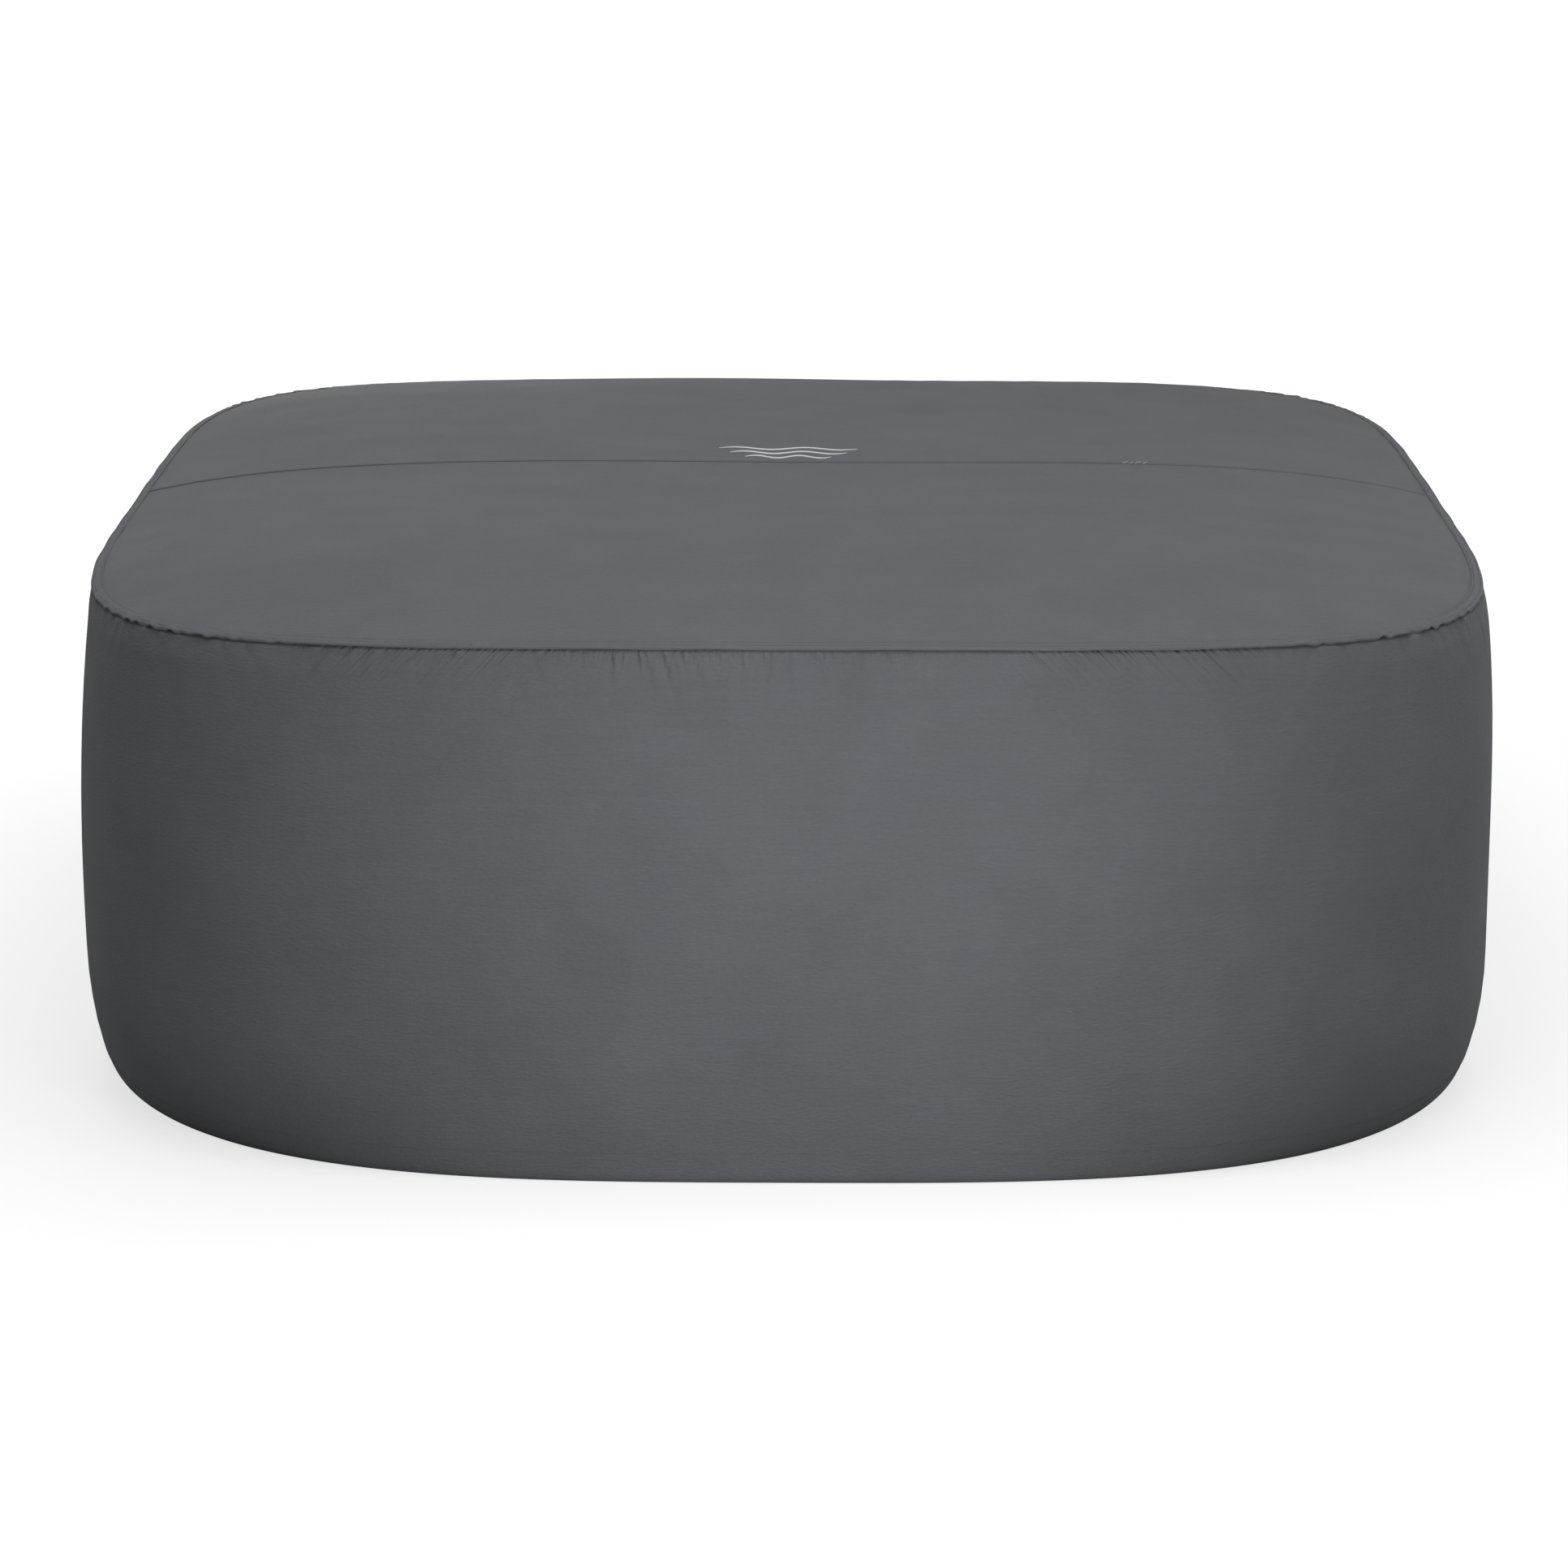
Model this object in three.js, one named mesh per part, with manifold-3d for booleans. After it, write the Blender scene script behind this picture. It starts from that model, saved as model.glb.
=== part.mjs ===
// Full-height insulated cover for a square inflatable spa: woven polyester outside, foam between,
// aluminium foil inside. It stands on the floor over the spa, and a flap at the rear lets the pump through.
// Millimetres, +Z up, the front faces -Y, and the origin is at the middle of the base.
import * as THREE from "three";
import { mergeVertices } from "three/addons/utils/BufferGeometryUtils.js";
import Module from "manifold-3d";

const wasm = await Module();
wasm.setup();

// ---- driving dimensions -------------------------------------------------------------------------

const GAP = 0.3; // clearance between pieces that touch
const PROUD_GAP = 1.2; // under a piece on the outside of the skirt, whose facets twist a little there

// The plan is a rounded square, |x|^n + |y|^n = a^n, whose half-width a and power n change with height.
const HEM_HALF_WIDTH = 900;
const HEM_POWER = 3.18; // the elastic draws the hem in at the corners
const BELLY_HEIGHT = 178;
const BELLY_HALF_WIDTH = 900;
const BELLY_POWER = 4.61;
const SEAM_HEIGHT = 652; // top edge of the skirt
const SEAM_HALF_WIDTH = 879.5;
const SEAM_POWER = 4.95;

const DOME_RISE = 46; // from the edge of the top to its middle
const DOME_POWER = 5; // flat in the middle, rolled down at the edge
const DOME_RINGS = [0, 0.35, 0.62, 0.8, 0.92, 1];
const FLAT_SHARE = 0.35; // share of the half-width over which the top is flat

const FABRIC = 1;
const FOAM = 8;
const FOIL = 1;

const HEM_TOP = 42;
const HEM_ROLL = 12; // height of the rolled lower edge
const HEM_ROLL_INSET = 5;
const ELASTIC_HEIGHT = 22;
const ELASTIC_THICKNESS = 2;
const CHANNEL_WALL = 2.5;
const HEM_END = 10; // the casing is made this much too long at each end, then cut flush

const LIP_OUT = 4; // how far the top's sewn edge stands out over the skirt
const LIP_LOW = -8;
const LIP_HIGH = 3;

const JOIN_WIDTH = 12; // the seam across the top
const JOIN_Y = 0;
const TAPE_WIDTH = 14; // the seams down the skirt
const TAPE_THICKNESS = 0.8;

const CUTOUT_WIDTH = 480; // for the pump, at the rear
const CUTOUT_HEIGHT = 430;
const CUTOUT_CORNER = 50;
const BINDING_THICKNESS = 2.2;

const FLAP_WIDTH = 540;
const FLAP_LOW = 8;
const FLAP_HIGH = 470;
const FLAP_FOAM = 4;
const STRIP_WIDTH = 24; // hook and loop strips
const STRIP_THICKNESS = 1.2;
const HINGE_GAP = 6; // from the flap's top edge to the hinge tape
const HINGE_TAPE = 20;
const TAB_WIDTH = 30;
const TAB_HEIGHT = 70;
const TAB_THICKNESS = 1.5;

const WAVE_LENGTH = 190;
const WAVE_STROKE = 9;
const WAVE_SWING = 8;
const WAVE_SPACING = 28;
const WAVE_CENTRE_Y = 62;
const PRINT_THICKNESS = 0.4;

const LABEL_WIDTH = 56;
const LABEL_HEIGHT = 36;
const LABEL_X = -360;
const LABEL_LOW = 110;

const STEPS = 48; // round the plan
const CORNER_CROWDING = 0.45; // how much closer the steps lie at the corners
const HEIGHTS = [0, HEM_TOP, 105, BELLY_HEIGHT, 330, 480, 585, SEAM_HEIGHT];

// Depths below the outer face, each layer a gap below the one outside it.
const FOAM_OUT = FABRIC + GAP;
const FOAM_IN = FOAM_OUT + FOAM;
const FOIL_OUT = FOAM_IN + GAP;
const FOIL_IN = FOIL_OUT + FOIL;

// Negative depths stand proud of the outer face.
const TAPE_IN = -PROUD_GAP;
const TAPE_OUT = TAPE_IN - TAPE_THICKNESS;
const LOOP_IN = -PROUD_GAP;
const LOOP_OUT = LOOP_IN - STRIP_THICKNESS;
const HOOK_IN = LOOP_OUT - GAP;
const HOOK_OUT = HOOK_IN - STRIP_THICKNESS;
const FLAP_FOIL_IN = HOOK_OUT - 2 * GAP;
const FLAP_FOIL_OUT = FLAP_FOIL_IN - FOIL;
const FLAP_FOAM_IN = FLAP_FOIL_OUT - GAP;
const FLAP_FOAM_OUT = FLAP_FOAM_IN - FLAP_FOAM;
const FLAP_FABRIC_IN = FLAP_FOAM_OUT - GAP;
const FLAP_FABRIC_OUT = FLAP_FABRIC_IN - FABRIC;
const TAB_IN = FLAP_FABRIC_OUT - GAP;
const TAB_OUT = TAB_IN - TAB_THICKNESS;

// The flap stands proud at the rear, so the shell moves forward by half of that to centre the whole.
const SHELL_Y = TAB_OUT / 2;

// ---- finishes -----------------------------------------------------------------------------------

const finish = (color, roughness, metalness = 0) =>
  new THREE.MeshStandardMaterial({ color, roughness, metalness });

const FINISHES = {
  outer: finish(0x696a6e, 0.85),
  binding: finish(0x5c5d61, 0.85),
  foam: finish(0xe9e9e6, 0.9),
  foil: finish(0xc9ccd0, 0.35, 0.9),
  elastic: finish(0xe4e4e0, 0.8),
  hookLoop: finish(0x2a2b2d, 0.95),
  webbing: finish(0x3a3b3e, 0.85),
  print: finish(0xf2f2f2, 0.6),
  label: finish(0xd8d8d4, 0.8),
};

// ---- the surface that every layer follows ---------------------------------------------------------

const radians = THREE.MathUtils.degToRad;
const degrees = THREE.MathUtils.radToDeg;
const lerp = THREE.MathUtils.lerp;

// Plan angles in degrees, closer together at the corners. Every layer uses them, so that facets stay parallel.
const ANGLES = Array.from({ length: STEPS + 1 }, (_, step) => {
  const even = (360 * step) / STEPS;
  return even + degrees((CORNER_CROWDING / 4) * Math.sin(radians(4 * even)));
});

function profileAt(height) {
  if (height >= BELLY_HEIGHT) {
    const rise = (height - BELLY_HEIGHT) / (SEAM_HEIGHT - BELLY_HEIGHT);
    return {
      halfWidth: lerp(BELLY_HALF_WIDTH, SEAM_HALF_WIDTH, rise ** 3),
      power: lerp(BELLY_POWER, SEAM_POWER, rise),
    };
  }
  const drop = (BELLY_HEIGHT - height) / BELLY_HEIGHT;
  return {
    halfWidth: lerp(BELLY_HALF_WIDTH, HEM_HALF_WIDTH, drop ** 2),
    power: lerp(BELLY_POWER, HEM_POWER, drop),
  };
}

// A point of the rounded square with half-width a and power n, at a plan angle in degrees.
function roundedSquare(angle, a, n) {
  const c = Math.cos(radians(angle));
  const s = Math.sin(radians(angle));
  const radius = a / (Math.abs(c) ** n + Math.abs(s) ** n) ** (1 / n);
  return new THREE.Vector2(radius * c, radius * s);
}

function ringPoint(angle, height, depth) {
  const { halfWidth, power } = profileAt(height);
  return roundedSquare(angle, halfWidth - depth, power);
}

// Index of the last entry of a rising list that is not above the value, and the share of the way to the next.
function bracket(list, value) {
  let index = 0;
  while (index < list.length - 2 && list[index + 1] <= value) index += 1;
  return { index, share: (value - list[index]) / (list[index + 1] - list[index]) };
}

// A point of the wall on its shared facets, at a plan angle, a height and a depth below the outer face.
function wallPoint(angle, height, depth) {
  const around = bracket(ANGLES, ((angle % 360) + 360) % 360);
  const up = bracket(HEIGHTS, height);
  const row = (level) => {
    const start = ringPoint(ANGLES[around.index], HEIGHTS[level], depth);
    const end = ringPoint(ANGLES[around.index + 1], HEIGHTS[level], depth);
    return start.lerp(end, around.share);
  };
  const plan = row(up.index).lerp(row(up.index + 1), up.share);
  return new THREE.Vector3(plan.x, plan.y + SHELL_Y, height);
}

// The values of a rising list between two limits, with the limits themselves at the ends.
function between(list, from, to) {
  const margin = 1e-3;
  const inner = list.filter((value) => value > from + margin && value < to - margin);
  return [from, ...inner, to];
}

// ---- solids -------------------------------------------------------------------------------------

function toSolid(geometry) {
  const bare = geometry.clone();
  bare.deleteAttribute("normal");
  bare.deleteAttribute("uv");
  const merged = mergeVertices(bare, 1e-4);
  const mesh = new wasm.Mesh({
    numProp: 3,
    vertProperties: merged.getAttribute("position").array,
    triVerts: new Uint32Array(merged.index.array),
  });
  return new wasm.Manifold(mesh);
}

function toGeometry(solid) {
  const mesh = solid.getMesh();
  const geometry = new THREE.BufferGeometry();
  geometry.setAttribute("position", new THREE.BufferAttribute(mesh.vertProperties, 3));
  geometry.setIndex(new THREE.BufferAttribute(mesh.triVerts, 1));
  geometry.computeVertexNormals();
  return geometry;
}

function block(low, high) {
  const size = new THREE.Vector3().subVectors(high, low);
  const middle = new THREE.Vector3().addVectors(low, high).multiplyScalar(0.5);
  const box = new THREE.BoxGeometry(size.x, size.y, size.z);
  return box.translate(middle.x, middle.y, middle.z);
}

// A box's back face has its diagonals the other way to its front face. Turned, they match, so that the
// back of one bent layer lies parallel to the front of the next.
function turnBackDiagonals(box) {
  const index = box.index;
  const back = box.groups[box.groups.length - 1];
  for (let i = back.start; i < back.start + back.count; i += 6) {
    const [a, b, d] = [index.getX(i), index.getX(i + 1), index.getX(i + 2)];
    const c = index.getX(i + 4);
    [a, b, c, a, c, d].forEach((vertex, corner) => index.setX(i + corner, vertex));
  }
}

// A box bent along the wall: between two plan angles and two heights, from an outer to an inner depth.
// insetAt(height) moves its outer face in, for a rolled edge.
function bentBox({ from, to, low, high, outer, inner, extraHeights = [], insetAt = () => 0 }) {
  const rounds = [-1, 0, 1].flatMap((turn) => ANGLES.slice(0, -1).map((angle) => angle + 360 * turn));
  const angles = between(rounds, from, to);
  const levels = [...HEIGHTS, ...extraHeights].sort((a, b) => a - b);
  const heights = between(levels, low, high);
  const across = angles.length - 1;
  const up = heights.length - 1;
  const box = new THREE.BoxGeometry(1, 1, 1, across, up, 1);
  turnBackDiagonals(box);
  const place = box.getAttribute("position");
  for (let i = 0; i < place.count; i += 1) {
    const angle = angles[Math.round((place.getX(i) + 0.5) * across)];
    const height = heights[Math.round((place.getY(i) + 0.5) * up)];
    const depth = place.getZ(i) > 0 ? outer + insetAt(height) : inner;
    place.setXYZ(i, ...wallPoint(angle, height, depth));
  }
  return box;
}

function domeRingHeight(ring) {
  const share = DOME_RINGS[ring];
  const drop = share <= FLAT_SHARE ? 0 : share ** DOME_POWER;
  return SEAM_HEIGHT + FABRIC + GAP + DOME_RISE * (1 - drop);
}

// Height of the dome's facets at a share of the way from the middle to the edge.
function domeHeight(share) {
  const ring = bracket(DOME_RINGS, share);
  return lerp(domeRingHeight(ring.index), domeRingHeight(ring.index + 1), ring.share);
}

// One layer of the domed top, from an outer to an inner depth, and inset from the edge.
// It is a lathed disc whose round plan is drawn out to the rounded square.
function domeLayer(outer, inner, inset) {
  const size = (SEAM_HALF_WIDTH - inset) / SEAM_HALF_WIDTH;
  const rings = [...DOME_RINGS.slice(0, -1), size];
  const under = rings.map((share) => new THREE.Vector2(share, -1));
  const over = rings.map((share) => new THREE.Vector2(share, 0)).reverse();
  const disc = new THREE.LatheGeometry([...under, ...over], STEPS);
  const place = disc.getAttribute("position");
  for (let i = 0; i < place.count; i += 1) {
    const share = Math.hypot(place.getX(i), place.getZ(i));
    const turned = degrees(Math.atan2(-place.getZ(i), place.getX(i)));
    const step = Math.round((((turned + 360) % 360) * STEPS) / 360);
    const plan = roundedSquare(ANGLES[step], SEAM_HALF_WIDTH * share, SEAM_POWER);
    const depth = place.getY(i) < -0.5 ? inner : outer;
    place.setXYZ(i, plan.x, plan.y + SHELL_Y, domeHeight(share) - depth);
  }
  return toSolid(disc);
}

const REACH = 1000; // past the outside of everything

function frontHalf() {
  const low = new THREE.Vector3(-REACH, -REACH, -REACH);
  return toSolid(block(low, new THREE.Vector3(REACH, JOIN_Y - GAP / 2, REACH)));
}

function rearHalf() {
  const low = new THREE.Vector3(-REACH, JOIN_Y + GAP / 2, -REACH);
  return toSolid(block(low, new THREE.Vector3(REACH, REACH, REACH)));
}

// The outline of an arch that stands on the floor: straight sides and round top corners.
function archPath(path, halfWidth, bottom, top, corner) {
  path.moveTo(-halfWidth, bottom);
  path.lineTo(halfWidth, bottom);
  path.lineTo(halfWidth, top - corner);
  path.absarc(halfWidth - corner, top - corner, corner, 0, Math.PI / 2, false);
  path.absarc(-halfWidth + corner, top - corner, corner, Math.PI / 2, Math.PI, false);
  path.closePath();
  return path;
}

// Extrudes an outline drawn in X and Z along Y, between two values of Y.
function extrudeAlongY(outline, nearY, farY) {
  const options = { depth: farY - nearY, bevelEnabled: false, curveSegments: 5 };
  const solid = new THREE.ExtrudeGeometry(outline, options);
  return solid.rotateX(Math.PI / 2).translate(0, farY, 0);
}

function cutoutCutter() {
  const arch = archPath(new THREE.Shape(), CUTOUT_WIDTH / 2, -50, CUTOUT_HEIGHT, CUTOUT_CORNER);
  return toSolid(extrudeAlongY(arch, REACH / 2, REACH));
}

// ---- the pieces ---------------------------------------------------------------------------------

const cover = new THREE.Group();

function add(name, geometry, material) {
  const mesh = new THREE.Mesh(geometry, material);
  mesh.name = name;
  cover.add(mesh);
}

// The plan angle at which the rear wall reaches a given x.
const rearAngle = (x) => 90 - degrees(Math.atan(x / BELLY_HALF_WIDTH));

const SKIRT_TOP = SEAM_HEIGHT;
const SKIRT_LOW = HEM_TOP + GAP;
const SLIT = 0.02; // half the gap between neighbouring sheets, in degrees of plan angle
const STEPS_PER_CORNER = 4; // the corner sheets start and end this many steps from a wall's middle

const cornerStart = ANGLES[STEPS_PER_CORNER];
const cornerEnd = ANGLES[STEPS / 4 - STEPS_PER_CORNER];
const REAR_SEAM_RIGHT = cornerEnd;
const REAR_SEAM_LEFT = 180 - cornerEnd;

function addTop() {
  const layers = [
    { name: "top_panel", outer: 0, inner: FABRIC, inset: 0, material: FINISHES.outer },
    { name: "top_foam", outer: FOAM_OUT, inner: FOAM_IN, inset: FOIL_IN + GAP, material: FINISHES.foam },
    { name: "top_lining", outer: FOIL_OUT, inner: FOIL_IN, inset: FOIL_IN + GAP, material: FINISHES.foil },
  ];
  for (const { name, outer, inner, inset, material } of layers) {
    const layer = domeLayer(outer, inner, inset);
    add(`${name}_front`, toGeometry(layer.intersect(frontHalf())), material);
    add(`${name}_rear`, toGeometry(layer.intersect(rearHalf())), material);
  }
}

// The folded seam across the top lies on the dome's facets, so its outline follows the dome's rings.
function addTopJoin() {
  const shares = [...DOME_RINGS.slice(1).reverse().map((share) => -share), ...DOME_RINGS];
  const upper = shares.map((share) => {
    const height = domeHeight(Math.abs(share)) + GAP + TAPE_THICKNESS;
    return new THREE.Vector2(share * SEAM_HALF_WIDTH, height);
  });
  const lower = upper.map((point) => new THREE.Vector2(point.x, point.y - TAPE_THICKNESS));
  const outline = new THREE.Shape([...lower, ...upper.reverse()]);
  const geometry = extrudeAlongY(outline, JOIN_Y - JOIN_WIDTH / 2, JOIN_Y + JOIN_WIDTH / 2);
  add("top_join_seam", geometry, FINISHES.binding);
}

// The lip is the sewn edge of the top, folded and standing out over the skirt all the way round.
function addTopLip() {
  const section = [
    new THREE.Vector2(0, LIP_LOW),
    new THREE.Vector2(1, LIP_LOW),
    new THREE.Vector2(1, LIP_HIGH),
    new THREE.Vector2(0, LIP_HIGH),
    new THREE.Vector2(0, LIP_LOW),
  ];
  const inside = 1.6; // clears the skirt, which widens below its top edge
  const shifted = section.map((point) => new THREE.Vector2(point.x + 1, point.y));
  const ring = new THREE.LatheGeometry(shifted, STEPS);
  const place = ring.getAttribute("position");
  for (let i = 0; i < place.count; i += 1) {
    const out = Math.hypot(place.getX(i), place.getZ(i)) > 1.5 ? LIP_OUT : 0;
    const turned = degrees(Math.atan2(-place.getZ(i), place.getX(i)));
    const step = Math.round((((turned + 360) % 360) * STEPS) / 360);
    const plan = roundedSquare(ANGLES[step], SEAM_HALF_WIDTH + inside + out, SEAM_POWER);
    place.setXYZ(i, plan.x, plan.y + SHELL_Y, SEAM_HEIGHT + place.getY(i));
  }
  add("top_edge_lip", toGeometry(toSolid(ring)), FINISHES.binding);
}

function addSkirt() {
  const sides = { low: SKIRT_LOW, high: SKIRT_TOP };
  const front = { from: REAR_SEAM_LEFT + SLIT, to: 360 + REAR_SEAM_RIGHT - SLIT, ...sides };
  const rear = { from: REAR_SEAM_RIGHT + SLIT, to: REAR_SEAM_LEFT - SLIT, ...sides };
  const cutter = cutoutCutter();
  const layers = [
    { name: "skirt_panel", outer: 0, inner: FABRIC, material: FINISHES.outer },
    { name: "skirt_lining", outer: FOIL_OUT, inner: FOIL_IN, material: FINISHES.foil },
  ];
  for (const { name, outer, inner, material } of layers) {
    add(`${name}_front`, bentBox({ ...front, outer, inner }), material);
    const whole = toSolid(bentBox({ ...rear, outer, inner }));
    add(`${name}_rear`, toGeometry(whole.subtract(cutter)), material);
  }
  for (const [side, angle] of [["right", REAR_SEAM_RIGHT], ["left", REAR_SEAM_LEFT]]) {
    const half = degrees(TAPE_WIDTH / 2 / BELLY_HALF_WIDTH);
    const tape = { from: angle - half, to: angle + half, low: SKIRT_LOW, high: SEAM_HEIGHT + LIP_LOW - GAP };
    const depths = { outer: TAPE_OUT, inner: TAPE_IN };
    add(`rear_seam_tape_${side}`, bentBox({ ...tape, ...depths }), FINISHES.binding);
  }
}

function addSkirtFoam() {
  const depths = { low: SKIRT_LOW, high: SKIRT_TOP, outer: FOAM_OUT, inner: FOAM_IN };
  const walls = ["right", "rear", "left", "front"];
  const corners = ["rear_right", "rear_left", "front_left", "front_right"];
  const cutter = cutoutCutter();
  walls.forEach((name, index) => {
    const middle = 90 * index;
    const span = { from: middle - cornerStart + SLIT, to: middle + cornerStart - SLIT };
    const sheet = bentBox({ ...span, ...depths });
    const geometry = name === "rear" ? toGeometry(toSolid(sheet).subtract(cutter)) : sheet;
    add(`foam_${name}`, geometry, FINISHES.foam);
  });
  corners.forEach((name, index) => {
    const start = 90 * index;
    const span = { from: start + cornerStart + SLIT, to: start + cornerEnd - SLIT };
    add(`foam_corner_${name}`, bentBox({ ...span, ...depths }), FINISHES.foam);
  });
}

// The hem casing is a flat tube round the base, open at the pump's cut-out, with the elastic inside.
function addHem() {
  const from = rearAngle(-CUTOUT_WIDTH / 2 + HEM_END);
  const to = 360 + rearAngle(CUTOUT_WIDTH / 2 - HEM_END);
  const insetAt = (height) => (height < HEM_ROLL ? HEM_ROLL_INSET * (1 - height / HEM_ROLL) ** 2 : 0);
  const casing = toSolid(
    bentBox({
      from,
      to,
      low: 0,
      high: HEM_TOP,
      outer: 0,
      inner: FOIL_IN,
      extraHeights: [HEM_ROLL / 2, HEM_ROLL],
      insetAt,
    }),
  );
  const past = 1; // degrees, so that the channel comes out at both ends
  const channel = bentBox({
    from: from - past,
    to: to + past,
    low: HEM_ROLL,
    high: HEM_TOP - CHANNEL_WALL,
    outer: CHANNEL_WALL,
    inner: FOIL_IN - CHANNEL_WALL,
  });
  const open = casing.subtract(toSolid(channel)).subtract(cutoutCutter());
  add("hem_casing", toGeometry(open), FINISHES.outer);
  const middleHeight = (HEM_ROLL + HEM_TOP - CHANNEL_WALL) / 2;
  const middleDepth = FOIL_IN / 2;
  const short = degrees((HEM_END + 8) / BELLY_HALF_WIDTH);
  const elastic = bentBox({
    from: from + short,
    to: to - short,
    low: middleHeight - ELASTIC_HEIGHT / 2,
    high: middleHeight + ELASTIC_HEIGHT / 2,
    outer: middleDepth - ELASTIC_THICKNESS / 2,
    inner: middleDepth + ELASTIC_THICKNESS / 2,
  });
  add("hem_elastic", elastic, FINISHES.elastic);
}

// The binding covers the raw edges of every layer round the pump's cut-out.
function addCutoutBinding() {
  const outer = CUTOUT_WIDTH / 2 - GAP;
  const inner = outer - BINDING_THICKNESS;
  const foot = 1;
  const outline = new THREE.Shape();
  outline.moveTo(inner, foot);
  outline.lineTo(outer, foot);
  outline.lineTo(outer, CUTOUT_HEIGHT - GAP - CUTOUT_CORNER);
  const centre = { x: outer - CUTOUT_CORNER, z: CUTOUT_HEIGHT - GAP - CUTOUT_CORNER };
  outline.absarc(centre.x, centre.z, CUTOUT_CORNER, 0, Math.PI / 2, false);
  outline.absarc(-centre.x, centre.z, CUTOUT_CORNER, Math.PI / 2, Math.PI, false);
  outline.lineTo(-outer, foot);
  outline.lineTo(-inner, foot);
  outline.lineTo(-inner, centre.z);
  outline.absarc(-centre.x, centre.z, CUTOUT_CORNER - BINDING_THICKNESS, Math.PI, Math.PI / 2, true);
  outline.absarc(centre.x, centre.z, CUTOUT_CORNER - BINDING_THICKNESS, Math.PI / 2, 0, true);
  outline.closePath();
  const wallY = BELLY_HALF_WIDTH + SHELL_Y;
  add("cutout_binding", extrudeAlongY(outline, wallY - FOIL_IN - 3, wallY - 3), FINISHES.binding);
}

function addFlap() {
  const halfWidth = FLAP_WIDTH / 2;
  const wide = { from: rearAngle(halfWidth), to: rearAngle(-halfWidth), low: FLAP_LOW, high: FLAP_HIGH };
  const inset = 3; // the foam and the foil end inside the outer fabric's edge
  const within = {
    from: rearAngle(halfWidth - inset),
    to: rearAngle(inset - halfWidth),
    low: FLAP_LOW + inset,
    high: FLAP_HIGH - inset,
  };
  add("flap_panel", bentBox({ ...wide, outer: FLAP_FABRIC_OUT, inner: FLAP_FABRIC_IN }), FINISHES.outer);
  add("flap_foam", bentBox({ ...within, outer: FLAP_FOAM_OUT, inner: FLAP_FOAM_IN }), FINISHES.foam);
  add("flap_lining", bentBox({ ...within, outer: FLAP_FOIL_OUT, inner: FLAP_FOIL_IN }), FINISHES.foil);

  const stripLow = HEM_TOP + 8;
  const stripHigh = CUTOUT_HEIGHT - 10;
  for (const [side, sign] of [["right", 1], ["left", -1]]) {
    const middle = rearAngle(sign * (halfWidth - inset - STRIP_WIDTH / 2));
    const half = degrees(STRIP_WIDTH / 2 / BELLY_HALF_WIDTH);
    const strip = { from: middle - half, to: middle + half, low: stripLow, high: stripHigh };
    add(`loop_strip_${side}`, bentBox({ ...strip, outer: LOOP_OUT, inner: LOOP_IN }), FINISHES.hookLoop);
    add(`hook_strip_${side}`, bentBox({ ...strip, outer: HOOK_OUT, inner: HOOK_IN }), FINISHES.hookLoop);
  }

  const hinge = { low: FLAP_HIGH + HINGE_GAP, high: FLAP_HIGH + HINGE_GAP + HINGE_TAPE };
  const tape = { ...wide, ...hinge, outer: TAPE_OUT, inner: TAPE_IN };
  add("flap_hinge_tape", bentBox(tape), FINISHES.binding);

  const tab = { from: rearAngle(TAB_WIDTH / 2), to: rearAngle(-TAB_WIDTH / 2) };
  const tabHeights = { low: FLAP_LOW + inset, high: FLAP_LOW + inset + TAB_HEIGHT };
  add("flap_pull_tab", bentBox({ ...tab, ...tabHeights, outer: TAB_OUT, inner: TAB_IN }), FINISHES.webbing);
}

// A generic mark: three waves, one behind the other, printed on the rear panel of the top.
function addWavePrints() {
  const points = 16;
  const swell = (share) => WAVE_SWING * Math.sin(share * 4 * Math.PI);
  for (const [row, name] of ["front", "middle", "rear"].entries()) {
    const length = WAVE_LENGTH * [0.62, 0.84, 1][row];
    const edge = (offset) =>
      Array.from({ length: points + 1 }, (_, i) => {
        const share = i / points;
        return new THREE.Vector2((share - 0.5) * length, swell(share) + offset);
      });
    const outline = new THREE.Shape([...edge(-WAVE_STROKE / 2), ...edge(WAVE_STROKE / 2).reverse()]);
    const wave = new THREE.ExtrudeGeometry(outline, { depth: PRINT_THICKNESS, bevelEnabled: false });
    const y = WAVE_CENTRE_Y + (row - 1) * WAVE_SPACING;
    add(`wave_print_${name}`, wave.translate(0, y, domeHeight(0) + GAP), FINISHES.print);
  }
}

function addCareLabel() {
  const half = LABEL_WIDTH / 2;
  const span = { from: rearAngle(LABEL_X + half), to: rearAngle(LABEL_X - half) };
  const depths = { low: LABEL_LOW, high: LABEL_LOW + LABEL_HEIGHT, outer: TAPE_OUT, inner: TAPE_IN };
  add("care_label", bentBox({ ...span, ...depths }), FINISHES.label);
}

addTop();
addTopJoin();
addTopLip();
addSkirt();
addSkirtFoam();
addHem();
addCutoutBinding();
addFlap();
addWavePrints();
addCareLabel();

export default cover;
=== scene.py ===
"""Insulated cover for a square spa: the fabric, foam, foil and stitching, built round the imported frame.

Every wall piece is cut and shaped flat, as on a sewing table, and then wrapped on to the cover's surface:
flat X runs round the plan, flat Y is the height and flat Z is how far the piece stands out of the skin.
"""
import logging
import math
from collections.abc import Callable, Sequence
from dataclasses import dataclass, field
from enum import Enum

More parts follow.
